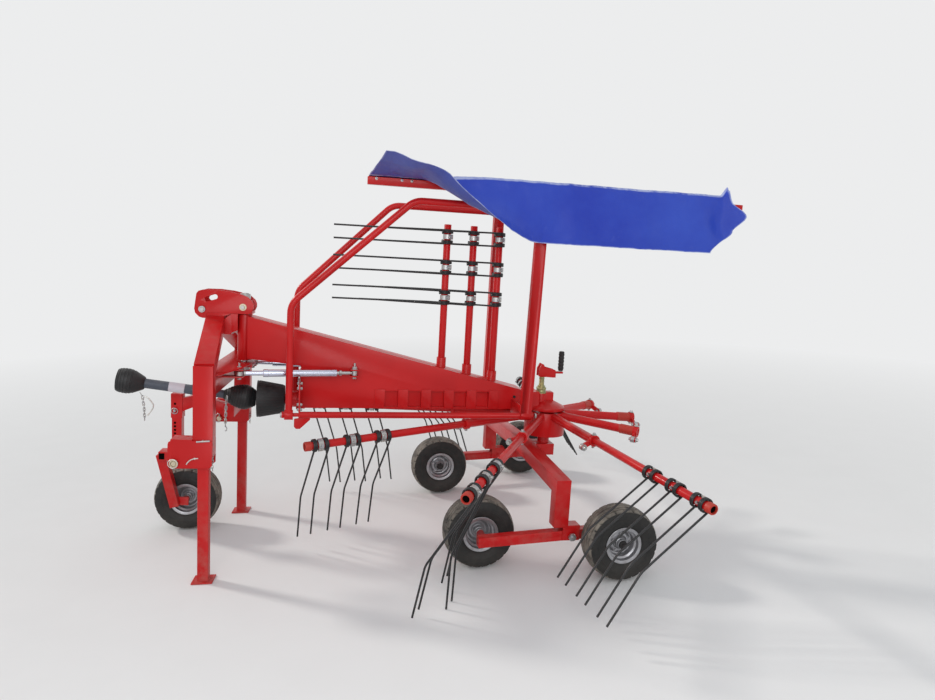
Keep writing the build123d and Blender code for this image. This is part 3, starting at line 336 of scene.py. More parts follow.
class Work:
    """A piece in the making. Shapes go in with a place and sizes in metres."""

    def __init__(self):
        self.bm = bmesh.new()

    def ring_of(self, place, points):
        return [self.bm.verts.new(place @ Vector(point)) for point in points]

    def skin(self, rings, closed=False, caps=False):
        """Quads between rings of as many points each, all the way round them."""
        count = len(rings)
        for index in range(count if closed else count - 1):
            first, second = rings[index], rings[(index + 1) % count]
            for a in range(len(first)):
                b = (a + 1) % len(first)
                self.bm.faces.new((first[a], first[b], second[b], second[a]))
        if caps:
            self.bm.faces.new(rings[0][::-1])
            self.bm.faces.new(rings[-1])
        return self

    def lathe(self, place, profile, steps=48, closed=True, change=None):
        """Turns (along X, radius) points about X. change(along, radius, angle) may move a point."""
        rings = []
        for step in range(steps):
            angle = 2 * math.pi * step / steps
            ring = []
            for along, radius in profile:
                x, r = change(along, radius, angle, step) if change else (along, radius)
                ring.append((x, r * math.cos(angle), r * math.sin(angle)))
            rings.append(self.ring_of(place, ring))
        for index in range(steps):
            first, second = rings[index], rings[(index + 1) % steps]
            for a in range(len(profile) if closed else len(profile) - 1):
                b = (a + 1) % len(profile)
                self.bm.faces.new((first[a], second[a], second[b], first[b]))
        if not closed:
            self.bm.faces.new([ring[0] for ring in rings])
            self.bm.faces.new([ring[-1] for ring in rings][::-1])
        return self

    def band(self, place, low, high, inner, outer, first, last, steps=18):
        """Part of a ring about X, between two angles measured from Y towards Z."""
        rings = []
        for step in range(steps + 1):
            angle = first + (last - first) * step / steps
            corners = ((low, inner), (low, outer - 0.0015), (low + 0.0015, outer), (high - 0.0015, outer),
                       (high, outer - 0.0015), (high, inner))
            points = [(x, r * math.cos(angle), r * math.sin(angle)) for x, r in corners]
            rings.append(self.ring_of(place, points))
        return self.skin(rings, caps=True)

    def rod(self, place, length, radius, edge=0.001, sides=32, start=0.0):
        """A round bar along X, its rims eased."""
        profile = (
            (start, radius - edge), (start + edge, radius), (start + length - edge, radius), (start + length, radius - edge),
        )
        return self.lathe(place, profile, sides, closed=False)

    def nut(self, place, across, height, start=0.0):
        """A six-sided nut or bolt head along X, its corners turned off."""
        corner = across / math.sqrt(3)
        inner = across / 2 * 0.96
        rings = []
        for x, radius, round_off in ((0, corner, 0), (0.78, corner, 0), (1, inner, 1)):
            points = []
            for step in range(24):
                angle = 2 * math.pi * step / 24
                local = (angle % (math.pi / 3)) - math.pi / 6
                flat = across / 2 / math.cos(local)
                r = radius if round_off else min(radius, flat)
                points.append((start + x * height, r * math.cos(angle), r * math.sin(angle)))
            rings.append(self.ring_of(place, points))
        return self.skin(rings, caps=True)

    def bolt(self, place, across=0.019, washer=True, stud=0.0):
        """A hexagon head on its washer, looking along X from the surface it stands on."""
        if washer:
            self.rod(place, 0.0025, across * 0.95, 0.0005)
        self.nut(place, across, across * 0.6, 0.0025 if washer else 0.0)
        if stud:
            self.rod(place, stud, across * 0.27, 0.001, 16, across * 0.6)
        return self

    def sweep(self, place, points, radius, sides=10, closed=False):
        """A round wire or tube through the points, turned along with them."""
        points = [Vector(point) for point in points]
        count = len(points)
        rings, across = [], None
        for index, point in enumerate(points):
            before = points[index - 1] if index or closed else point
            after = points[(index + 1) % count] if index < count - 1 or closed else point
            ahead = (after - before).normalized()
            if across is None:
                across = ahead.orthogonal().normalized()
            across = (across - ahead * across.dot(ahead)).normalized()
            up = ahead.cross(across)
            ring = []
            for side in range(sides):
                angle = 2 * math.pi * side / sides
                ring.append(point + (across * math.cos(angle) + up * math.sin(angle)) * radius)
            rings.append(self.ring_of(place, ring))
        return self.skin(rings, closed=closed, caps=not closed)

    def slab(self, place, outline, low, high, edge=0.0012):
        """A plate drawn in X and Z, thick along Y, its rims eased."""
        work = bmesh.new()
        sides = [[work.verts.new(place @ Vector((x, y, z))) for x, z in outline] for y in (low, high)]
        work.faces.new(sides[0])
        work.faces.new(sides[1][::-1])
        for a in range(len(outline)):
            b = (a + 1) % len(outline)
            work.faces.new((sides[0][a], sides[1][a], sides[1][b], sides[0][b]))
        bmesh.ops.recalc_face_normals(work, faces=work.faces)
        if edge:
            bmesh.ops.bevel(
                work, geom=work.edges[:], offset=edge, offset_type="OFFSET", segments=2, profile=0.5, affect="EDGES",
                clamp_overlap=True,
            )
        mesh = bpy.data.meshes.new("slab")
        work.to_mesh(mesh)
        work.free()
        self.bm.from_mesh(mesh)
        bpy.data.meshes.remove(mesh)
        return self

    def block(self, place, low, high, edge=0.0015):
        (x0, y0, z0), (x1, y1, z1) = low, high
        return self.slab(place, ((x0, z0), (x1, z0), (x1, z1), (x0, z1)), y0, y1, edge)

    def done(self, name, finish, body, slot, replaced=(), crease=35):
        bmesh.ops.recalc_face_normals(self.bm, faces=self.bm.faces)
        mesh = bpy.data.meshes.new(name)
        self.bm.to_mesh(mesh)
        self.bm.free()
        return placed(name, mesh, finish, body, replaced, crease)


def placed(name, mesh, finish, body, replaced=(), crease=35):
    mesh.materials.clear()
    mesh.materials.append(finish)
    mesh.shade_smooth()
    mesh.set_sharp_from_angle(angle=rad(crease))
    piece = bpy.data.objects.new(name, mesh)
    bpy.context.scene.collection.objects.link(piece)
    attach(piece, body)
    if replaced:
        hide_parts(*replaced)
    return piece


def apply_modifiers(piece):
    bpy.context.view_layer.update()
    made = bpy.data.meshes.new_from_object(piece.evaluated_get(bpy.context.evaluated_depsgraph_get()))
    piece.modifiers.clear()
    piece.data = made
    return piece


body_of_node = {node: body for body, nodes in frame["record"]["behaviour"]["bodies"].items() for node in nodes}
slot_of_node = {row["node"]: row["material_slot"] for row in frame["record"]["subparts"]}


def rounded_steel(node, finish, radius=0.003, name=None):
    """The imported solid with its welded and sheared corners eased, in place of the sharp one."""
    source = frame["nodes"][node]
    bm = bmesh.new()
    bm.from_mesh(source.data)
    bmesh.ops.remove_doubles(bm, verts=bm.verts, dist=1e-5)
    bmesh.ops.dissolve_limit(bm, angle_limit=rad(1), verts=bm.verts, edges=bm.edges)
    mesh = bpy.data.meshes.new(node)
    bm.to_mesh(mesh)
    bm.free()
    piece = placed(name or f"{node}_steel", mesh, finish, body_of_node[node], (node,), 30)
    bevel = piece.modifiers.new("eased", "BEVEL")
    bevel.width = radius
    bevel.segments = 2
    bevel.limit_method = "ANGLE"
    bevel.angle_limit = rad(40)
    bevel.use_clamp_overlap = True
    bevel.harden_normals = True
    piece.data.set_sharp_from_angle(angle=rad(180))
    return apply_modifiers(piece)


RED_NODES = (
    "main_beam", "gearbox", "axle_arch", "stored_arms", "hoop_carriers", "rotor_hub", "rotor_arms",
    "head_frame", "top_link_bracket", "lower_link_clevises", "jockey_carrier", "stand_left", "stand_right",
    "bogie_left", "bogie_right", "hoop_left", "hoop_right", "curtain_bar",
)
for node in RED_NODES:
    rounded_steel(node, red)


# Wheels

WHEEL_R, TYRE_HALF = 0.185, 0.075
BEAD_R, BEAD_HALF, FLANGE_R = 0.080, 0.058, 0.092
TREAD_STEPS = 144


def tyre_profile():
    """Half of the outside from bead to crown, then mirrored, then the hidden inside."""
    half = [
        (0.058, 0.0815), (0.0585, 0.090), (0.0605, 0.0945), (0.064, 0.098), (0.0675, 0.104), (0.0705, 0.113),
        (0.0725, 0.123), (0.0735, 0.128), (0.0745, 0.1285), (0.0748, 0.137), (0.0738, 0.1375), (0.0735, 0.148),
        (0.0715, 0.158), (0.0680, 0.1665), (0.0675, 0.1705), (0.0635, 0.1735), (0.0545, 0.1775),
        (0.0480, 0.1790), (0.0470, 0.1730), (0.0420, 0.1732), (0.0410, 0.1805),
        (0.0270, 0.1830), (0.0260, 0.1765), (0.0215, 0.1767), (0.0205, 0.1838), (0.0045, 0.1848), (0.0035, 0.1780),
    ]
    outside = half + [(-x, r) for x, r in half[::-1]]
    inside = [(-0.052, 0.0815), (-0.060, 0.120), (-0.050, 0.160), (0.050, 0.160), (0.060, 0.120), (0.052, 0.0815)]
    return outside + inside


def tread(along, radius, angle, step):
    """Cuts the shoulder into blocks, and the ribs a little."""
    if radius > 0.170 and 0.049 < abs(along) < 0.0705 and step % 6 == 0:
        return along * 0.985, radius - 0.0055
    if radius > 0.179 and 0.020 < abs(along) < 0.0415 and (step + (3 if along > 0 else 0)) % 6 == 0:
        return along, radius - 0.0035
    return along, radius


WHEELS = ["front_wheel_left", "rear_wheel_left", "front_wheel_right", "rear_wheel_right", "jockey_wheel"]


def make_tyre(name, place, body):
    work = Work()
    work.lathe(place, tyre_profile(), TREAD_STEPS, change=tread)
    worn = work.bm.verts.layers.float.new("tread")
    axle, middle = (place.to_3x3() @ Vector((1, 0, 0))).normalized(), place.translation
    for vert in work.bm.verts:
        arm = vert.co - middle
        vert[worn] = 1.0 if (arm - axle * arm.dot(axle)).length > 0.1720 else 0.0
    return work.done(f"{name}_rubber", tyre_black, body, "tyre", (f"{name}_tyre",), 28)


def make_rim(name, place, body, dish):
    """A pressed wheel: curled flanges, drop centre, and a dished disc on a hub tube. dish is the disc's side."""
    flange = [
        (0.0580, 0.0797), (0.0583, 0.0880), (0.0600, 0.0915), (0.0622, 0.0920), (0.0632, 0.0905), (0.0625, 0.0880),
        (0.0612, 0.0800), (0.0600, 0.0770), (0.0560, 0.0762), (0.0400, 0.0745), (0.0340, 0.0660), (0.0200, 0.0635),
    ]
    inner = flange + [(-x, r) for x, r in flange[::-1]]
    outer = [(-0.0560, 0.0797), (-0.0380, 0.0780), (-0.0300, 0.0690), (-0.0200, 0.0665), (0.0200, 0.0665),
             (0.0300, 0.0690), (0.0380, 0.0780), (0.0560, 0.0797)]
    work = Work()
    work.lathe(place, inner + outer, 72)
    disc = [
        (0.004, 0.0650), (0.002, 0.0580), (0.009, 0.0520), (0.013, 0.0440), (0.012, 0.0360), (0.006, 0.0300),
        (0.006, 0.0260), (0.003, 0.0260), (0.003, 0.0310), (0.009, 0.0370), (0.0095, 0.0440), (0.0055, 0.0500),
        (-0.001, 0.0560), (-0.001, 0.0650),
    ]
    work.lathe(place @ Matrix.Diagonal((dish, 1, 1, 1)), disc, 72)
    hub = [
        (-0.048, 0.0128), (-0.048, 0.0215), (-0.046, 0.0235), (-0.030, 0.0240), (-0.028, 0.0268), (0.028, 0.0268),
        (0.030, 0.0240), (0.046, 0.0235), (0.048, 0.0215), (0.048, 0.0128),
    ]
    work.lathe(place, hub, 48)
    for index in range(5):
        around = place @ turn(2 * math.pi * index / 5, "X")
        work.bolt(around @ shift(0.0125 * dish, 0, 0.044) @ (turn(math.pi, "Z") if dish < 0 else Matrix()), 0.012)
    return work.done(f"{name}_disc", wheel_silver, body, "rim_silver", (f"{name}_rim",), 35)


for name in WHEELS:
    spin = joints[f"{name}_spin"]
    axis = Vector(spin["axis"])
    place = shift(*spin["pos_m"]) @ axis.to_track_quat("X", "Z").to_matrix().to_4x4()
    make_tyre(name, place, name)
    make_rim(name, place, name, 1 if name in ("rear_wheel_left", "front_wheel_right") else -1)


# Tines: one sprung wire each side of a clamp, wound round the arm

WIRE_R, COIL_R, CLAMP_HALF, COIL_LENGTH = 0.0050, 0.0285, 0.015, 0.027
UPPER, LOWER, BEND, BEND_R = 0.390, 0.258, rad(20), 0.120
COIL_TURNS = 2.75
TURN_STEPS = 20


def tine_line(station, side):
    """From the tip up the leg and round the arm to the clamp."""
    x = station + side * (CLAMP_HALF + COIL_LENGTH - WIRE_R)
    tangent = BEND_R * math.tan(BEND / 2)
    points = []
    reach = LOWER - tangent
    knee = Vector((x, COIL_R, -UPPER))
    down = Vector((0, math.sin(BEND), -math.cos(BEND)))
    points.append(knee + down * LOWER)
    points.append(knee + down * (LOWER * 0.5))
    steps = 8
    for step in range(steps + 1):
        angle = BEND * (1 - step / steps)
        centre = Vector((x, COIL_R + BEND_R, -UPPER + tangent))
        points.append(centre + Vector((0, -BEND_R * math.cos(angle), -BEND_R * math.sin(angle))))
    points.append(Vector((x, COIL_R, -UPPER * 0.5)))
    points.append(Vector((x, COIL_R, -0.02)))
    total = int(COIL_TURNS * TURN_STEPS)
    for step in range(total + 1):
        angle = 2 * math.pi * step / TURN_STEPS
        inward = (COIL_LENGTH - 2 * WIRE_R) * step / total
        points.append(Vector((x - side * inward, COIL_R * math.cos(angle), COIL_R * math.sin(angle))))
    return points


def tine_set(name, places, body, node, slack=(0, 0, 0)):
    wires, clamps = Work(), Work()
    for still in places:
        for station, loose in zip(TINE_STATIONS, slack):
            place = still @ turn(rad(loose), "X")
            for side in (-1, 1):
                wires.sweep(place, tine_line(station, side), WIRE_R, 8)
            at = place @ shift(station, 0, 0)
            clamps.band(at, -0.0135, 0.0135, ARM_TUBE_R + 0.0006, 0.0325, rad(-35), rad(125))
            bolted = at @ turn(rad(45), "X") @ shift(0, 0.0322, 0)
            clamps.bolt(bolted @ LEFTWARD, 0.013)
            clamps.nut(at @ turn(rad(45), "X") @ shift(0, -ARM_TUBE_R, 0) @ RIGHTWARD, 0.013, 0.008)
    wires.done(name, black_tine, body, "spring_steel", (node,), 50)
    clamps.done(f"{name}_clamps", zinc, body, "zinc")


SLACK = {1: (6, 14, 5), 3: (-3, 0, 2)}     # how far a clamp has slipped round its arm

for index, roll in enumerate(ARM_ROLLS):
    turned = arm_place(index) @ turn(-rad(roll), "X")
    tine_set(f"tine_wires_{index + 1}", [turned], "rotor", f"tines_{index + 1}", SLACK.get(index, (0, 0, 0)))

STORED_X, STORED_TOP, STORED_ROLL = (0.650, 0.498, 0.346), 1.720, rad(25)


def stored_place(x):
    return FRAME @ shift(x, 0, STORED_TOP - ARM_END) @ turn(-math.pi / 2, "Y")


tine_set("stored_wires", [stored_place(x) @ turn(-STORED_ROLL, "X") for x in STORED_X], "frame", "stored_tines")


# Rotor details: caps on the arms, cross bolts and lever rollers on the stubs

def end_cap(work, place):
    cap = (
        (-0.022, 0.0203), (-0.022, 0.0240), (0.007, 0.0240), (0.010, 0.0222), (0.010, 0.0165), (0.0004, 0.0160),
        (0.0004, 0.0203),
    )
    work.lathe(place, cap, 32)
    # A flat dark disc in the cap's bore is painted shade for the arm's open end.
    hole_shades.lathe(place, ((0.0004, 0.0005), (0.0004, 0.0159), (0.0016, 0.0159), (0.0016, 0.0005)), 32)


COLLAR_MIDDLE = STUB_END - 0.013
LEVER_END = (-0.066, -0.031)

caps, bolts, sockets, hole_shades = Work(), Work(), Work(), Work()
for index in range(ARM_COUNT):
    place = arm_place(index)
    if index < len(ARM_ROLLS):
        end_cap(caps, place @ shift(ARM_END, 0, 0))
    else:
        sockets.lathe(place, (
            (0.462, 0.0245), (0.466, 0.0275), (STUB_END - 0.026, 0.0275), (STUB_END - 0.026, 0.0240), (0.466, 0.0240),
        ), 40)
    bolts.rod(place @ shift(COLLAR_MIDDLE, 0, -0.040) @ UPWARD, 0.080, 0.0045)
    bolts.bolt(place @ shift(COLLAR_MIDDLE, 0, 0.0305) @ UPWARD, 0.015)
    bolts.nut(place @ shift(COLLAR_MIDDLE, 0, -0.0305) @ DOWNWARD, 0.015, 0.010)
    roller = place @ shift(COLLAR_MIDDLE + 0.022, *LEVER_END)
    bolts.bolt(roller, 0.017)
    bolts.nut(roller @ shift(-0.031, 0, 0) @ REARWARD, 0.015, 0.009)
    bolts.lathe(roller, ((-0.027, 0.0152), (-0.027, 0.0175), (-0.006, 0.0175), (-0.006, 0.0152)), 32)
caps.done("arm_caps", cap_red, "rotor", "red_paint")
hole_shades.done("arm_cap_hole_shade", painted_hole_shade, "rotor", "red_paint")
sockets.done("socket_sleeves", cap_red, "rotor", "red_paint")
bolts.done("rotor_bolts", zinc, "rotor", "zinc")


# Gearbox: the spindle's nuts, the crank and its grip

SPINDLE_X, BOSS_TOP, SPINDLE_TOP = 0.034, 0.766, 0.862
GRIP_X, GRIP_BOTTOM, GRIP_TOP = -0.080, 0.900, 1.018

stack = Work()
spindle = FRAME @ shift(SPINDLE_X, 0, BOSS_TOP) @ UPWARD
stack.lathe(spindle, (
    (0.000, 0.0010), (0.000, 0.0345), (0.007, 0.0345), (0.009, 0.0290), (0.019, 0.0275), (0.020, 0.0240), (0.043, 0.0225),
    (0.045, 0.0175), (0.048, 0.0160), (0.052, 0.0160), (0.053, 0.0145), (0.056, 0.0160), (0.060, 0.0145), (0.063, 0.0160),
    (0.067, 0.0145), (0.070, 0.0160), (0.074, 0.0145), (0.077, 0.0160), (0.081, 0.0145), (0.084, 0.0160), (0.096, 0.0150),
    (0.096, 0.0010),
), 40)
stack.nut(spindle, 0.052, 0.013, 0.022)
stack.done("spindle_nuts", brass, "frame", slot_of_node["height_spindle"], ("height_spindle",))

CRANK_OUTLINE = (
    (0.062, 0.868), (0.062, 0.914), (0.046, 0.944), (0.032, 0.938), (0.030, 0.926), (-0.038, 0.908), (-0.044, 0.900),
    (-0.044, 0.862), (-0.020, 0.862),
)
crank = Work()
crank.slab(FRAME, CRANK_OUTLINE, -0.024, -0.016)
crank.slab(FRAME, CRANK_OUTLINE, 0.016, 0.024)
crank.block(FRAME, (-0.040, -0.016, 0.863), (0.052, 0.016, 0.893), 0.002)
crank.block(FRAME, (-0.094, -0.012, 0.884), (-0.036, 0.012, 0.896), 0.003)
crank.block(FRAME, (-0.037, -0.030, 0.690), (0.012, 0.030, 0.774), 0.004)
crank.done("crank_bracket", red, "frame", "red_paint", ("height_crank",))

GRIP = [(0.0, 0.0060), (0.0, 0.0120), (0.004, 0.0150)]
for ridge in range(5):
    low = 0.010 + ridge * 0.020
    GRIP += [(low, 0.0150), (low + 0.004, 0.0172), (low + 0.013, 0.0172), (low + 0.017, 0.0150)]
GRIP += [(0.112, 0.0165), (0.117, 0.0130), (0.118, 0.0060)]
grip = Work()
grip.lathe(FRAME @ shift(GRIP_X, 0, GRIP_BOTTOM) @ UPWARD, GRIP, 32, closed=False)
grip.done("crank_grip", grip_black, "frame", "black_plastic")


# Drive shaft: the hood on the beam, ribbed bell guards over the joints, a grey tube between them

SHAFT_REAR, SHAFT_FRONT = Vector((1.668, 0, 0.715)), Vector((2.335, 0, 0.806))
shaft_line = SHAFT_FRONT - SHAFT_REAR
SHAFT = FRAME @ shift(*SHAFT_REAR) @ shaft_line.to_track_quat("X", "Z").to_matrix().to_4x4()
SHAFT_LENGTH = shaft_line.length
YOKE_BORE_R, YOKE_HALF = 0.0175, 0.040
TUBE_END, SLEEVE_START = 0.560, 0.322
INPUT = FRAME @ shift(1.434, 0, 0.715)
HOOD_REAR, HOOD_FRONT = 0.083, 0.229

hood = Work()
hood.lathe(INPUT, (
    (HOOD_REAR, 0.0180), (HOOD_REAR, 0.0720), (HOOD_REAR + 0.004, 0.0760), (HOOD_FRONT - 0.006, 0.1000),
    (HOOD_FRONT, 0.1010), (HOOD_FRONT, 0.0965), (HOOD_REAR + 0.005, 0.0712), (HOOD_REAR + 0.005, 0.0180),
), 96)
for index in range(36):
    around = INPUT @ turn(2 * math.pi * index / 36, "X")
    hood.slab(around, ((HOOD_REAR + 0.010, 0.0755), (HOOD_FRONT - 0.012, 0.0975), (HOOD_FRONT - 0.012, 0.1006),
                       (HOOD_REAR + 0.010, 0.0786)), -0.0012, 0.0012, 0.0004)
hood.done("shaft_hood", guard_black, "frame", "black_plastic", ("input_hood",))

bearing = Work()
bearing.lathe(INPUT, ((0.0005, 0.018), (0.0005, 0.062), (0.012, 0.062), (0.016, 0.045), (0.078, 0.043), (0.083, 0.018)), 48)
for index in range(6):
    around = INPUT @ turn(math.pi * (index + 0.5) / 3, "X")
    bearing.bolt(around @ shift(0.012, 0, 0.053), 0.013)
bearing.done("input_bearing", red, "frame", "red_paint")

stub = Work()
stub.rod(INPUT @ shift(0.085, 0, 0), 0.150, 0.0170)
stub.lathe(INPUT, ((0.160, 0.0175), (0.160, 0.0400), (0.215, 0.0400), (0.222, 0.0360), (0.268, 0.0340), (0.268, 0.0175)), 40)
stub.done("input_stub", zinc, "frame", "zinc")


def ribbed(profile, ribs, inside):
    """A guard's outside with a groove before each rib's edge, closed along its inside."""
    points = []
    for index in range(len(profile) - 1):
        (x0, r0), (x1, r1) = profile[index], profile[index + 1]
        for rib in range(ribs):
            for share, lift in ((0.0, 0.0), (0.55, 0.0008), (0.62, -0.0016), (0.92, -0.0016)):
                along = (rib + share) / ribs
                points.append((x0 + (x1 - x0) * along, r0 + (r1 - r0) * along + lift))
    points.append(profile[-1])
    return points + [(profile[-1][0], inside), (profile[0][0] + 0.001, inside)]


REAR_GUARD = (
    (0.001, 0.041), (0.010, 0.047), (0.022, 0.054), (0.036, 0.062), (0.050, 0.0675), (0.064, 0.0680), (0.078, 0.0665),
    (0.092, 0.0640), (0.106, 0.0600), (0.120, 0.0550), (0.134, 0.0480), (0.146, 0.0400), (0.158, 0.0320), (0.170, 0.0262),
)
rear_guard = Work()
rear_guard.lathe(SHAFT, ribbed(REAR_GUARD, 1, 0.0222), 72)
rear_guard.done("rear_bell_guard", guard_black, "frame", "black_plastic", ("shaft_rear",))

rear_tube = Work()
rear_tube.lathe(SHAFT, ((0.100, 0.0190), (0.100, 0.0220), (TUBE_END, 0.0220), (TUBE_END, 0.0190)), 48)
rear_tube.done("inner_guard_tube", tube_grey, "frame", "black_plastic")

FRONT_GUARD = (
    (0.572, 0.0300), (0.576, 0.0345), (0.590, 0.0420), (0.604, 0.0490), (0.618, 0.0560), (0.634, 0.0620), (0.650, 0.0655),
    (0.666, 0.0660), (0.682, 0.0648), (0.694, 0.0625), (0.706, 0.0580),
)
front_guard = Work()
front_guard.lathe(SHAFT, ribbed(FRONT_GUARD[4:], 1, 0.0540), 72)
front_guard.lathe(SHAFT, FRONT_GUARD[:5] + ((0.618, 0.0440), (0.596, 0.0300)), 72)
front_guard.done("front_bell_guard", guard_black, "shaft_front", "black_plastic", ("shaft_front",))

front_tube = Work()
front_tube.lathe(SHAFT, (
    (SLEEVE_START, 0.0222), (SLEEVE_START, 0.0255), (SLEEVE_START + 0.004, 0.0268), (SLEEVE_START + 0.020, 0.0268),
    (SLEEVE_START + 0.022, 0.0255), (0.600, 0.0255), (0.600, 0.0222),
), 48)
front_tube.done("outer_guard_tube", tube_grey, "shaft_front", "black_plastic")

yoke = Work()
yoke.lathe(SHAFT, (
    (SHAFT_LENGTH - YOKE_HALF - 0.012, 0.0176), (SHAFT_LENGTH - YOKE_HALF - 0.012, 0.0420), (SHAFT_LENGTH, 0.0440),
    (SHAFT_LENGTH + YOKE_HALF - 0.012, 0.0400), (SHAFT_LENGTH + YOKE_HALF, 0.0290), (SHAFT_LENGTH + YOKE_HALF, 0.0176),
), 48)
for index in range(20):
    around = SHAFT @ turn(2 * math.pi * index / 20, "X")
    yoke.block(around, (SHAFT_LENGTH - YOKE_HALF, -0.0012, 0.0174), (SHAFT_LENGTH + YOKE_HALF - 0.001, 0.0012, 0.0190), 0)
yoke.done("front_yoke", zinc, "shaft_front", "zinc")

label = Work()
label.band(SHAFT, 0.372, 0.452, 0.0257, 0.0264, rad(-115), rad(115), 40)
label.done("bare_shaft_label", label_grey, "shaft_front", "black_plastic")


def chain(work, place, points, pitch=0.0180, thick=0.0019):
    """Short links along straight runs between the points, every other one turned a quarter."""
    count = 0
    for a, b in zip(points, points[1:]):
        a, b = Vector(a), Vector(b)
        run = (b - a).length
        links = max(1, round(run / pitch))
        line = shift(*a) @ (b - a).to_track_quat("X", "Z").to_matrix().to_4x4()
        for index in range(links):
            at = place @ line @ shift(run * (index + 0.5) / links, 0, 0) @ turn(math.pi / 2 * (count % 2), "X")
            half, wide = pitch * 0.62 - 0.004, 0.0050
            oval = []
            for step in range(12):
                angle = 2 * math.pi * step / 12
                oval.append((math.copysign(half, math.cos(angle)) + wide * math.cos(angle), wide * math.sin(angle), 0))
            work.sweep(at, oval, thick, 6, closed=True)
            count += 1
    return work


chains = Work()
chain(chains, FRAME, ((1.8155, 0.055, 0.738), (1.8194, 0.058, 0.700), (1.8211, 0.058, 0.648), (1.8228, 0.058, 0.575)), 0.020, 0.0024)
chains.sweep(FRAME, ((1.8228, 0.058, 0.577), (1.8149, 0.058, 0.563), (1.8160, 0.058, 0.550), (1.8245, 0.058, 0.548)), 0.0026, 8)
chains.done("rear_safety_chain", zinc, "frame", "zinc")
chains = Work()
chain(chains, FRAME, ((2.250, 0.046, 0.752), (2.2391, 0.042, 0.731), (2.2313, 0.040, 0.668), (2.2292, 0.040, 0.6045)))
chains.done("front_safety_chain", zinc, "shaft_front", "zinc")
hook = Work()
hook.sweep(FRAME, ((2.236, 0.042, 0.7300), (2.222, 0.042, 0.7290), (2.2096, 0.042, 0.7204), (2.196, 0.042, 0.7030),
                   (2.1851, 0.042, 0.6845), (2.188, 0.042, 0.6680), (2.1959, 0.042, 0.6545), (2.2151, 0.042, 0.6272)), 0.0036, 10)
hook.done("chain_hook", bare_clip, "shaft_front", "zinc")


# Swing dampers: a chromed cylinder with end caps, its fork, and the rod to the hitch head's eye

DAMPER_REAR_X, DAMPER_REAR_Y, DAMPER_Z = 1.150, 0.125, 0.888
EYE_U, EYE_V = -0.010, 0.190
DAMPER_START, CYLINDER_SHARE, ROD_LENGTH = 0.095, 0.8, 0.300

for side, sign, outward in SIDES:
    rear = Vector((DAMPER_REAR_X, sign * DAMPER_REAR_Y, DAMPER_Z))
    eye = shift(KING_X, 0, 0) @ turn(-HEAD_SWING, "Z") @ Vector((EYE_U, sign * EYE_V, DAMPER_Z))
    length = (eye - rear).length
    line = FRAME @ shift(*rear) @ (eye - rear).to_track_quat("X", "Z").to_matrix().to_4x4()
    end = length * CYLINDER_SHARE
    barrel = Work()
    barrel.lathe(line, (
        (DAMPER_START, 0.0132), (DAMPER_START, 0.0175), (DAMPER_START + 0.003, 0.0198), (DAMPER_START + 0.018, 0.0198),
        (DAMPER_START + 0.019, 0.0190), (end - 0.026, 0.0190), (end - 0.025, 0.0200), (end - 0.002, 0.0200),
        (end, 0.0180), (end, 0.0132),
    ), 56)
    barrel.done(f"damper_barrel_{side}", chrome, f"damper_cylinder_{side}", "chrome", (f"damper_cylinder_{side}",))
    tail = Work()
    tail.rod(line @ shift(0.014, 0, 0), DAMPER_START - 0.012, 0.0095)
    tail.lathe(line, ((0.070, 0.0096), (0.070, 0.0150), (0.082, 0.0150), (0.084, 0.0096)), 6)
    tail.lathe(line @ UPWARD, ((-0.012, 0.0072), (-0.012, 0.0160), (0.012, 0.0160), (0.012, 0.0072)), 40)
    tail.done(f"damper_tail_{side}", zinc, f"damper_cylinder_{side}", "zinc")
    piston = Work()
    piston.rod(line @ shift(length - ROD_LENGTH, 0, 0), ROD_LENGTH - 0.022, 0.0125, 0.0015, 40)
    piston.done(f"damper_piston_{side}", chrome, f"damper_rod_{side}", "chrome", (f"damper_rod_{side}",))
    fork = Work()
    fork.rod(line @ shift(length - 0.0325, 0, 0), 0.010, 0.0142, 0.002, 32)
    fork.lathe(line @ shift(length, 0, 0) @ UPWARD, ((-0.010, 0.0192), (-0.010, 0.0260), (0.010, 0.0260), (0.010, 0.0192)), 48)
    fork.done(f"damper_eye_{side}", zinc, f"damper_rod_{side}", "zinc")
    for x, at, body in ((0, FRAME @ shift(*rear), "frame"), (1, FRAME @ shift(*eye), "hitch_head")):
        pin = Work()
        high = 0.0205
        pin.bolt(at @ shift(0, 0, high) @ UPWARD, 0.022, stud=0.020)
        pin.nut(at @ shift(0, 0, -high) @ DOWNWARD, 0.022, 0.012)
        pin.done(f"damper_pin_{side}_{body}", zinc, body, "zinc")


# Hitch head: the king pin's nuts, link pins, stand pins, and the nose wheel post

head_steel = Work()
king = HEAD @ UPWARD
head_steel.rod(HEAD @ shift(0, 0, 0.876) @ UPWARD, 0.414, 0.0175)
head_steel.nut(HEAD @ shift(0, 0, 1.2525) @ UPWARD, 0.054, 0.034)
head_steel.rod(HEAD @ shift(0, 0, 1.2865) @ UPWARD, 0.004, 0.0150)
head_steel.nut(HEAD @ shift(0, 0, 0.897) @ DOWNWARD, 0.054, 0.021)
head_steel.done("king_pin_steel", zinc, "hitch_head", slot_of_node["king_pin"], ("king_pin",))

NECK_HALF, NECK_BOTTOM, NECK_TOP = 0.060, 1.072, 1.181
plates = Work()
for sign in (-1, 1):
    low, high = sorted((sign * NECK_HALF, sign * (NECK_HALF - 0.010)))
    plates.slab(HEAD, ((0.026, NECK_BOTTOM + 0.022), (0.026, NECK_TOP), (0.075, NECK_TOP), (0.075, NECK_BOTTOM + 0.002)), low, high)
plates.slab(HEAD @ LYING, (
    (0.134, -0.436), (0.040, -0.436), (-0.030, -0.214), (-0.049, -0.056), (-0.049, 0.056), (-0.030, 0.214), (0.040, 0.436),
    (0.134, 0.436),
), -0.9215, -0.9152, 0.002)
plates.done("bridge_plate", red, "hitch_head", "red_paint")

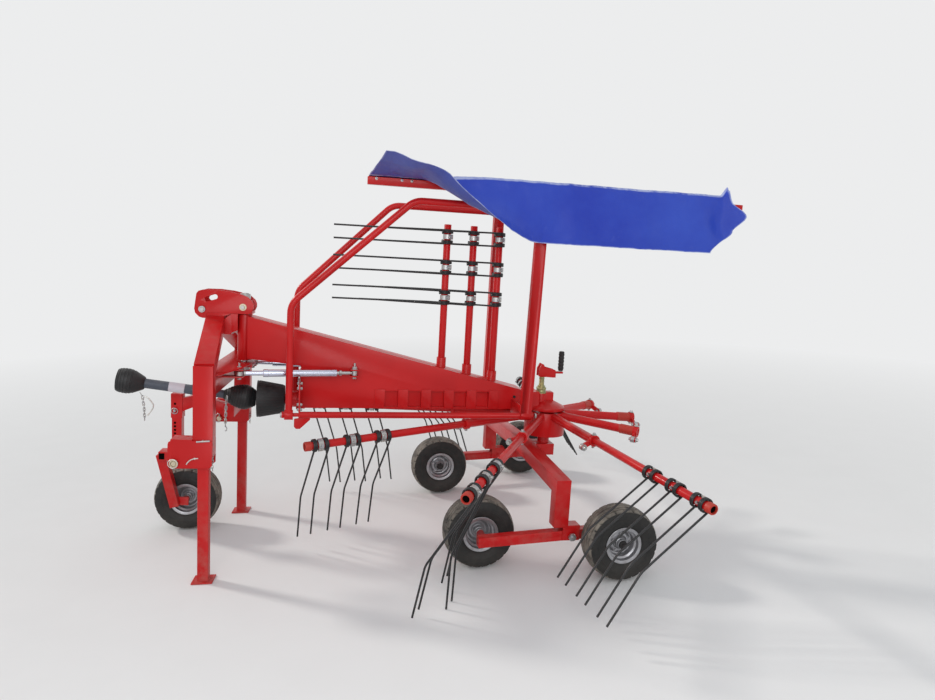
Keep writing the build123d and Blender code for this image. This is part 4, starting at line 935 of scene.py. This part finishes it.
pins = Work()
TOP_LINK, EAR_BOLT = (0.210, 1.199), (0.001, 1.218)
pins.rod(HEAD @ shift(TOP_LINK[0], -0.066, TOP_LINK[1]) @ LEFTWARD, 0.132, 0.0122, 0.002, 40)
pins.lathe(HEAD @ shift(TOP_LINK[0], 0.0553, TOP_LINK[1]) @ LEFTWARD, (
    (0.0, 0.0123), (0.0, 0.0180), (0.005, 0.0180), (0.007, 0.0165), (0.007, 0.0123)), 40)
for side, sign, outward in SIDES:
    pins.nut(HEAD @ shift(EAR_BOLT[0], sign * 0.0552, EAR_BOLT[1]) @ outward, 0.020, 0.010, 0.003)
pins.done("top_link_pin", zinc, "hitch_head", "zinc")
washers = Work()
for side, sign, outward in SIDES:
    washers.rod(HEAD @ shift(EAR_BOLT[0], sign * 0.0551, EAR_BOLT[1]) @ outward, 0.004, 0.0190, 0.001, 40)
washers.done("ear_washers", yellow_zinc, "hitch_head", "zinc")


def ring(work, place, radius, thick, steps=28):
    """A wire ring about X."""
    points = []
    for step in range(steps):
        angle = 2 * math.pi * step / steps
        points.append((0, radius * math.cos(angle), radius * math.sin(angle)))
    return work.sweep(place, points, thick, 8, closed=True)


LINK_HOLES = {"left": (0.224, 0.501), "right": (0.221, 0.499)}
LEG_U, LEG_V, LEG_HALF, PLATE_OUT = 0.095, 0.470, 0.033, 0.041
LEG_FACE = LEG_V + LEG_HALF
pins, clips, bright = Work(), Work(), Work()
for side, sign, outward in SIDES:
    u, w = LINK_HOLES[side]
    outer, inner = LEG_V + PLATE_OUT, LEG_V - PLATE_OUT
    pins.rod(HEAD @ shift(u, sign * (inner - 0.026), w) @ outward, 0.118, 0.0138, 0.003, 40)
    pins.lathe(HEAD @ shift(u, sign * (outer + 0.0004), w) @ outward, (
        (0.0, 0.0139), (0.0, 0.0205), (0.007, 0.0205), (0.010, 0.0180), (0.010, 0.0139)), 40)
    ring(bright, HEAD @ shift(u + 0.002, sign * (outer + 0.013), w + 0.001) @ turn(math.pi / 2, "Z") @ turn(rad(8), "Y"), 0.0225, 0.0019)
    clip = HEAD @ shift(u, sign * (inner - 0.016), w)
    clips.sweep(clip, ((0, 0, 0.026), (0, 0, -0.022)), 0.0030, 10)
    clips.sweep(clip, (
        (0, 0, 0.026), (0.006, 0, 0.030), (0.018, 0, 0.022), (0.024, 0, 0.0), (0.018, 0, -0.018), (0.006, 0, -0.024),
        (-0.004, 0, -0.020)), 0.0022, 8)
    across = HEAD @ shift(0, sign * (LEG_FACE + 0.0065), 0)
    clips.sweep(across, ((0.1215, 0, 0.6070), (0.1150, 0, 0.6078), (0.0900, 0, 0.6100), (0.0600, 0, 0.6125)), 0.0048, 12)
    clips.rod(HEAD @ shift(0.093, sign * (LEG_FACE - 0.004), 0.6098) @ outward, 0.012, 0.0062)
    bent = HEAD @ shift(0, sign * (outer + 0.0040), 0)
    bright.sweep(bent, (
        (0.1660, 0, 0.4975), (0.1640, 0, 0.5009), (0.1590, 0, 0.5085), (0.1526, 0, 0.5156), (0.1445, 0, 0.5210),
        (0.1357, 0, 0.5246), (0.1250, 0, 0.5270), (0.1121, 0, 0.5280)), 0.0030, 10)
    bright.rod(HEAD @ shift(0.128, sign * (outer - 0.002), 0.5264) @ outward, 0.008, 0.0050)
    behind = sign * (LEG_V + 0.012)
    chain(clips, HEAD, (
        (0.0560, behind, 0.726), (0.0535, behind, 0.628), (0.0530, behind, 0.511), (0.0555, behind, 0.484),
        (0.0525, behind, 0.459)), 0.014, 0.0014)
pins.done("lower_link_pins", yellow_zinc, "hitch_head", "zinc")
bright.done("spring_clips", bare_clip, "hitch_head", "zinc")

POST_V, SLEEVE_FACE, POST_FACE = -0.110, -0.080, -0.084
POST_HOLES = ((0.384, 0.6565, SLEEVE_FACE),) + tuple((0.385, w, POST_FACE) for w in (0.548, 0.528, 0.508, 0.488, 0.468, 0.448))
# Flat dark cups on both sides of the post are painted shade for its holes; the thin dark sheet below them is painted
# shade too.
hole_shades = Work()
for u, w, face in POST_HOLES:
    for way, turned in ((1, LEFTWARD), (-1, RIGHTWARD)):
        v = face if way > 0 else 2 * POST_V - face
        hole_shades.lathe(HEAD @ shift(u, v, w) @ turned, ((-0.001, 0.001), (-0.001, 0.0066), (0.0005, 0.0066), (0.0003, 0.001)), 24)
hole_shades.block(HEAD, (0.443, -0.0884, 0.336), (0.473, -0.0874, 0.371), 0)
hole_shades.done("post_hole_shade", painted_hole_shade, "hitch_head", "red_paint")
at = HEAD @ shift(0.3845, SLEEVE_FACE, 0.6185) @ LEFTWARD
clips.rod(at @ shift(-0.070, 0, 0), 0.084, 0.0055)
clips.rod(at, 0.006, 0.0085)
ring(clips, at @ shift(0.011, 0.001, 0.0) @ turn(rad(10), "Y"), 0.0170, 0.0019)
clips.sweep(at @ shift(0.011, 0, 0), ((0, 0.004, 0.015), (0, -0.002, 0.003), (0, 0.003, -0.001), (0, -0.004, -0.014)), 0.0022, 8)
clips.done("pins_and_clips", zinc, "hitch_head", "zinc")


# Frame bolts: the hoops' ears, the beam's rear, the bogies and the wheels

HOOPS = {"left": (0.204, 1.490), "right": (0.300, 1.466)}
HOOP_Y, HOOP_PIVOT_Z = 0.250, 0.683
bolts, dark_bolts, gussets = Work(), Work(), Work()
for side, sign, outward in SIDES:
    for x, z in ((0.2234, 0.7553), (0.2201, 0.7061)):
        dark_bolts.nut(FRAME @ shift(x, sign * 0.080, z) @ outward, 0.015, 0.006)
    front = 1.462 if side == "left" else 1.440
    low, high = sorted((sign * (HOOP_Y - 0.0035), sign * (HOOP_Y - 0.0125)))
    gussets.slab(FRAME, (
        (front, 0.660), (front, 0.618), (front - 0.010, 0.607), (front - 0.030, 0.606), (1.380, 0.656), (1.380, 0.672)), low, high)
    for z in (0.828, 0.800, 0.712, 0.684):
        at = FRAME @ shift(1.440, sign * 0.130, z)
        bolts.bolt(at, 0.014)
        bolts.bolt(at @ shift(-0.006, 0, 0) @ REARWARD, 0.014, stud=0.004)
    foot_x, front_x = HOOPS[side]
    for x, way in ((front_x + 0.035, Matrix()), (foot_x - 0.055, REARWARD)):
        bolts.nut(FRAME @ shift(x, sign * HOOP_Y, HOOP_PIVOT_Z) @ way, 0.026, 0.008)
bolts.done("frame_bolts", zinc, "frame", "zinc")
dark_bolts.done("beam_bolts", black_tine, "frame", "spring_steel")
gussets.done("carrier_gussets", red, "frame", "red_paint")

BOGIE_PIVOT_X, BAR_Y, PIVOT_END = 0.105, 0.715, 0.046
axle_nuts = {side: Work() for side, _, _ in SIDES}
for side, sign, outward in SIDES:
    pivot = Vector(joints[f"bogie_rock_{side}"]["pos_m"])
    cap = Work()
    cap.nut(shift(pivot.x, pivot.y + sign * PIVOT_END, pivot.z) @ outward, 0.036, 0.016)
    cap.rod(shift(pivot.x, pivot.y + sign * PIVOT_END, pivot.z) @ outward, 0.022, 0.0090)
    cap.done(f"bogie_bolt_{side}", zinc, "frame", "zinc")
    for name, way in ((f"front_wheel_{side}", -sign), (f"rear_wheel_{side}", sign)):
        centre = Vector(joints[f"{name}_spin"]["pos_m"])
        facing = LEFTWARD if way > 0 else RIGHTWARD
        at = shift(centre.x, centre.y + way * 0.0485, centre.z) @ facing
        axle_nuts[side].lathe(at, ((0.0, 0.0126), (0.0, 0.0215), (0.004, 0.0215), (0.006, 0.0205), (0.012, 0.0205),
                                   (0.0135, 0.0190), (0.0135, 0.0100), (0.0110, 0.0010)), 40)
        axle_nuts[side].nut(at, 0.020, 0.006, 0.0125)
    axle_nuts[side].done(f"axle_nuts_{side}", grip_black, f"bogie_{side}", "zinc")
hub = Work()
centre = Vector(joints["jockey_wheel_spin"]["pos_m"])
at = shift(*centre) @ turn(-HEAD_SWING, "Z") @ shift(0, -0.0485, 0) @ RIGHTWARD
hub.lathe(at, ((0.0, 0.0126), (0.0, 0.0215), (0.012, 0.0205), (0.0135, 0.0190), (0.0135, 0.0100), (0.0110, 0.0010)), 40)
hub.done("jockey_nut", grip_black, "hitch_head", "zinc")


# Swath curtain: coated cloth, screwed to the bar along its far edge, falling over the near side

BAR_TOP, BAR_HALF = 1.925, 0.020
FLAP = 0.310
# along the bar: x, the flap's slope below level at the bar and at its edge, and how high the cloth crowns
CLOTH_SECTIONS = (
    (-0.925, 70, 95, 0.038), (-0.400, 70, 95, 0.036), (0.200, 70, 95, 0.036), (0.300, 80, 60, 0.036),
    (0.400, 85, 35, 0.036), (0.480, 85, 5, 0.034), (0.620, 85, -35, 0.028), (0.760, 45, -45, 0.016),
    (0.870, 0, -18, 0.006), (1.030, -12, -20, 0.002), (1.120, -12, -20, 0.002),
)
ALONG, DOWN = 240, 64
CLOTH_HALF = 0.0008


def eased(share):
    share = min(max(share, 0.0), 1.0)
    return share * share * (3 - 2 * share)


def at_station(x):
    """The slopes and the crown at x, between the two stations on its sides."""
    x = min(max(x, CLOTH_SECTIONS[0][0]), CLOTH_SECTIONS[-1][0])
    for first, second in zip(CLOTH_SECTIONS, CLOTH_SECTIONS[1:]):
        if x <= second[0]:
            share = (x - first[0]) / (second[0] - first[0])
            return [a + (b - a) * share for a, b in zip(first[1:], second[1:])]


def cloth_line(x):
    """The cloth's middle as (y, z) at x: over the bar, then down or out along the flap."""
    start, last, crown = at_station(x)
    crown += 0.0025 * noise.noise(Vector((x * 11, 0.3, 0))) + 0.0015 * noise.noise(Vector((x * 34, 2.3, 0)))
    base = BAR_TOP + 0.0016
    far, near = HOOP_Y - BAR_HALF, HOOP_Y + BAR_HALF
    line = [(far + 0.001, base), (far + 0.009, base), (far + 0.014, base + crown * 0.5), (far + 0.020, base + crown)]
    line += [((far + near) / 2 + 0.004, base + crown + 0.007), (near - 0.004, base + crown + 0.004)]
    y, z = near + 0.008, base + crown / 2
    line.append((y, z))
    steps = 24
    for step in range(steps):
        slope = rad(start + (last - start) * (step + 0.5) / steps)
        y, z = y + FLAP / steps * math.cos(slope), z - FLAP / steps * math.sin(slope)
        line.append((y, z))
    return line


def resampled(line, count):
    """As many points at even steps along the line."""
    lengths = [0.0]
    for (y0, z0), (y1, z1) in zip(line, line[1:]):
        lengths.append(lengths[-1] + math.hypot(y1 - y0, z1 - z0))
    points, index = [], 0
    for step in range(count):
        target = lengths[-1] * step / (count - 1)
        while index < len(line) - 2 and lengths[index + 1] < target:
            index += 1
        share = (target - lengths[index]) / (lengths[index + 1] - lengths[index])
        (y0, z0), (y1, z1) = line[index], line[index + 1]
        points.append([y0 + (y1 - y0) * share, z0 + (z1 - z0) * share])
    for _ in range(2):
        inner = [[(a[0] + 2 * b[0] + c[0]) / 4, (a[1] + 2 * b[1] + c[1]) / 4] for a, b, c in zip(points, points[1:], points[2:])]
        points[3:-1] = inner[2:]
    return points


ON_BAR = 0.22


def rear_edge(down):
    """Where the cloth ends at the rear, from the bar (0) to the free edge (1): its corner is curled in."""
    stops = ((0.0, -0.905), (0.35, -0.985), (0.60, -0.925), (1.0, -0.800))
    for (d0, x0), (d1, x1) in zip(stops, stops[1:]):
        if down <= d1:
            return x0 + (x1 - x0) * eased((down - d0) / (d1 - d0))
    return stops[-1][1]


def fold(x, down):
    """How far the cloth stands off its smooth shape at x, growing towards its free edge."""
    loose = eased((down - 0.05) / 0.6)
    wave = 0.0060 * math.sin(x * 17.0 + 1.3) + 0.0035 * math.sin(x * 31.0 + 0.4 + down * 1.5)
    pucker = 0.0022 * math.sin(x * 52.0 + 0.8 * math.sin(x * 9)) * math.exp(-((down - 0.06) / 0.10) ** 2)
    crease = 0.0050 * noise.noise(Vector((x * 4.5 + down * 1.4, down * 2.2, 1.7)))
    fine = 0.0016 * noise.noise(Vector((x * 15, down * 9, 4.1)))
    dent = -0.030 * math.exp(-((x + 0.845) / 0.060) ** 2 - ((down - 0.45) / 0.30) ** 2)
    return loose * (wave + crease) + pucker + fine * loose + dent


def swath_curtain():
    bm = bmesh.new()
    under = bm.verts.layers.float.new("underside")
    hem = bm.verts.layers.float.new("hem")
    grid = []
    for i in range(ALONG + 1):
        share = i / ALONG
        row = []
        for j in range(DOWN + 1):
            down = max(0.0, (j / DOWN - ON_BAR) / (1 - ON_BAR))
            front = 1.119 - 0.050 * down
            x = rear_edge(down) + (front - rear_edge(down)) * share
            row.append((x, down))
        grid.append(row)
    lines = {}

    def middle(x, j):
        key = round(x, 3)
        if key not in lines:
            lines[key] = resampled(cloth_line(key), DOWN + 1)
        return lines[key][j]

    places = []
    for row in grid:
        points = []
        for j, (x, down) in enumerate(row):
            y, z = middle(x, j)
            y2, z2 = middle(x, min(j + 1, DOWN))
            y1, z1 = middle(x, max(j - 1, 0))
            run = math.hypot(y2 - y1, z2 - z1) or 1.0
            off = fold(x, down) if down > 0 else 0.0
            if x < -0.88 and down > 0:
                off += 0.45 * (-0.88 - x)
            lift = 0.055 * eased((-0.865 - x) / 0.05) * (1 - eased(down / 0.12)) if j > 3 else 0.0
            points.append(Vector((x, y - (z2 - z1) / run * off, z + (y2 - y1) / run * off + lift)))
        places.append(points)
    sheets = []
    for side in (1, -1):
        sheet = []
        for i, row in enumerate(places):
            verts = []
            for j, point in enumerate(row):
                ahead = places[min(i + 1, ALONG)][j] - places[max(i - 1, 0)][j]
                across = row[min(j + 1, DOWN)] - row[max(j - 1, 0)]
                normal = ahead.cross(across).normalized()
                vert = bm.verts.new(FRAME @ (point + normal * CLOTH_HALF * side))
                # 1 on the underside sheet, which the finish paints a duller, greyer blue as painted shade.
                vert[under] = 0.0 if side > 0 else 1.0
                # A painted highlight: 1 on the free edge and the side edges, 0.75 on three rows along the crown.
                vert[hem] = 1.0 if j == DOWN or i in (0, ALONG) else 0.75 if j in (10, 11, 12) else 0.0
                verts.append(vert)
            sheet.append(verts)
        sheets.append(sheet)
    top, bottom = sheets
    for i in range(ALONG):
        for j in range(DOWN):
            bm.faces.new((top[i][j], top[i][j + 1], top[i + 1][j + 1], top[i + 1][j]))
            bm.faces.new((bottom[i][j], bottom[i + 1][j], bottom[i + 1][j + 1], bottom[i][j + 1]))
    for i in range(ALONG):
        for j in (0, DOWN):
            bm.faces.new((top[i][j], top[i + 1][j], bottom[i + 1][j], bottom[i][j]))
    for j in range(DOWN):
        for i in (0, ALONG):
            bm.faces.new((top[i][j], top[i][j + 1], bottom[i][j + 1], bottom[i][j]))
    bmesh.ops.recalc_face_normals(bm, faces=bm.faces)
    mesh = bpy.data.meshes.new("swath_curtain")
    bm.to_mesh(mesh)
    bm.free()
    piece = placed("swath_curtain", mesh, blue_cloth, "guard_left", ("curtain",), 60)
    return piece


swath_curtain()
screws = Work()
for x in (1.082, 0.952, 0.901):
    at = FRAME @ shift(x, HOOP_Y + BAR_HALF, 1.915) @ LEFTWARD
    screws.rod(at, 0.0015, 0.0075, 0.0004, 24)
    screws.lathe(at, ((0.0015, 0.0010), (0.0015, 0.0060), (0.0040, 0.0045), (0.0048, 0.0010)), 24)
for index in range(12):
    x = -0.86 + 0.176 * index
    at = FRAME @ shift(x, HOOP_Y - BAR_HALF + 0.0045, BAR_TOP + 0.0026) @ UPWARD
    screws.rod(at, 0.0012, 0.0045, 0.0003, 20)
    screws.lathe(at, ((0.0012, 0.0010), (0.0012, 0.0035), (0.0030, 0.0028), (0.0034, 0.0010)), 20)
screws.done("curtain_screws", zinc, "guard_left", "zinc")


# Floor, world and lamps

BACKDROP = (0.84, 0.845, 0.85)


def pale_stage():
    """A pale floor that takes the shadows and turns into the backdrop far from the machine."""
    floor = bpy.data.meshes.new("floor")
    reach = 60
    floor.from_pydata([(-reach, -reach, 0), (reach, -reach, 0), (reach, reach, 0), (-reach, reach, 0)], [], [(0, 1, 2, 3)])
    f = Finish("pale_floor", Roughness=0.8, Specular_IOR_Level=0.1)
    f.lay("Base Color", f.blend(f.speckle(4, 3), (0.78, 0.775, 0.77), (0.81, 0.805, 0.80)))
    far = f.add("VectorMath", {"operation": "LENGTH"}, {0: f.where()}, output=1).between(3.0, 9.0)
    glow = f.add("Emission", inputs={"Color": (*BACKDROP, 1), "Strength": 1.0})
    both = f.add("MixShader", inputs={0: far, 1: Wire(f, f.shader.outputs[0]), 2: glow})
    f.tree.links.new(both.socket, f.tree.nodes["Material Output"].inputs[0])
    floor.materials.append(f.material)
    piece = bpy.data.objects.new("floor", floor)
    bpy.context.scene.collection.objects.link(piece)


def pale_world():
    """Even soft light, and the backdrop for the camera and for what metal and glass reflect."""
    world = bpy.data.worlds.new("studio")
    bpy.context.scene.world = world
    world.use_nodes = True
    nodes, links = world.node_tree.nodes, world.node_tree.links
    nodes["Background"].inputs["Strength"].default_value = 0.62
    nodes["Background"].inputs["Color"].default_value = (0.94, 0.97, 1.0, 1)
    shown = nodes.new("ShaderNodeBackground")
    shown.inputs["Color"].default_value = (*BACKDROP, 1)
    path = nodes.new("ShaderNodeLightPath")
    seen = path.outputs["Is Camera Ray"]
    for kind in ("Is Glossy Ray", "Is Transmission Ray"):
        either = nodes.new("ShaderNodeMath")
        either.operation = "MAXIMUM"
        links.new(seen, either.inputs[0])
        links.new(path.outputs[kind], either.inputs[1])
        seen = either.outputs[0]
    mix = nodes.new("ShaderNodeMixShader")
    links.new(seen, mix.inputs[0])
    links.new(nodes["Background"].outputs[0], mix.inputs[1])
    links.new(shown.outputs[0], mix.inputs[2])
    links.new(mix.outputs[0], nodes["World Output"].inputs[0])


def lamp(name, kind, place, aim, strength, colour, **size):
    data = bpy.data.lights.new(name, kind)
    data.energy, data.color = strength, colour
    for setting, value in size.items():
        setattr(data, setting, value)
    piece = bpy.data.objects.new(name, data)
    bpy.context.scene.collection.objects.link(piece)
    piece.location = place
    piece.rotation_euler = (Vector(aim) - Vector(place)).to_track_quat("-Z", "Y").to_euler()


pale_stage()
pale_world()
lamp("key", "SUN", (4.5, -3.2, 4.0), (0, 0, 0.6), 1.35, (1.0, 0.97, 0.92), angle=rad(7))
lamp("fill", "AREA", (1.5, 7.5, 3.6), (0, 0, 0.8), 190, (0.97, 0.98, 1.0), shape="DISK", size=5.0)
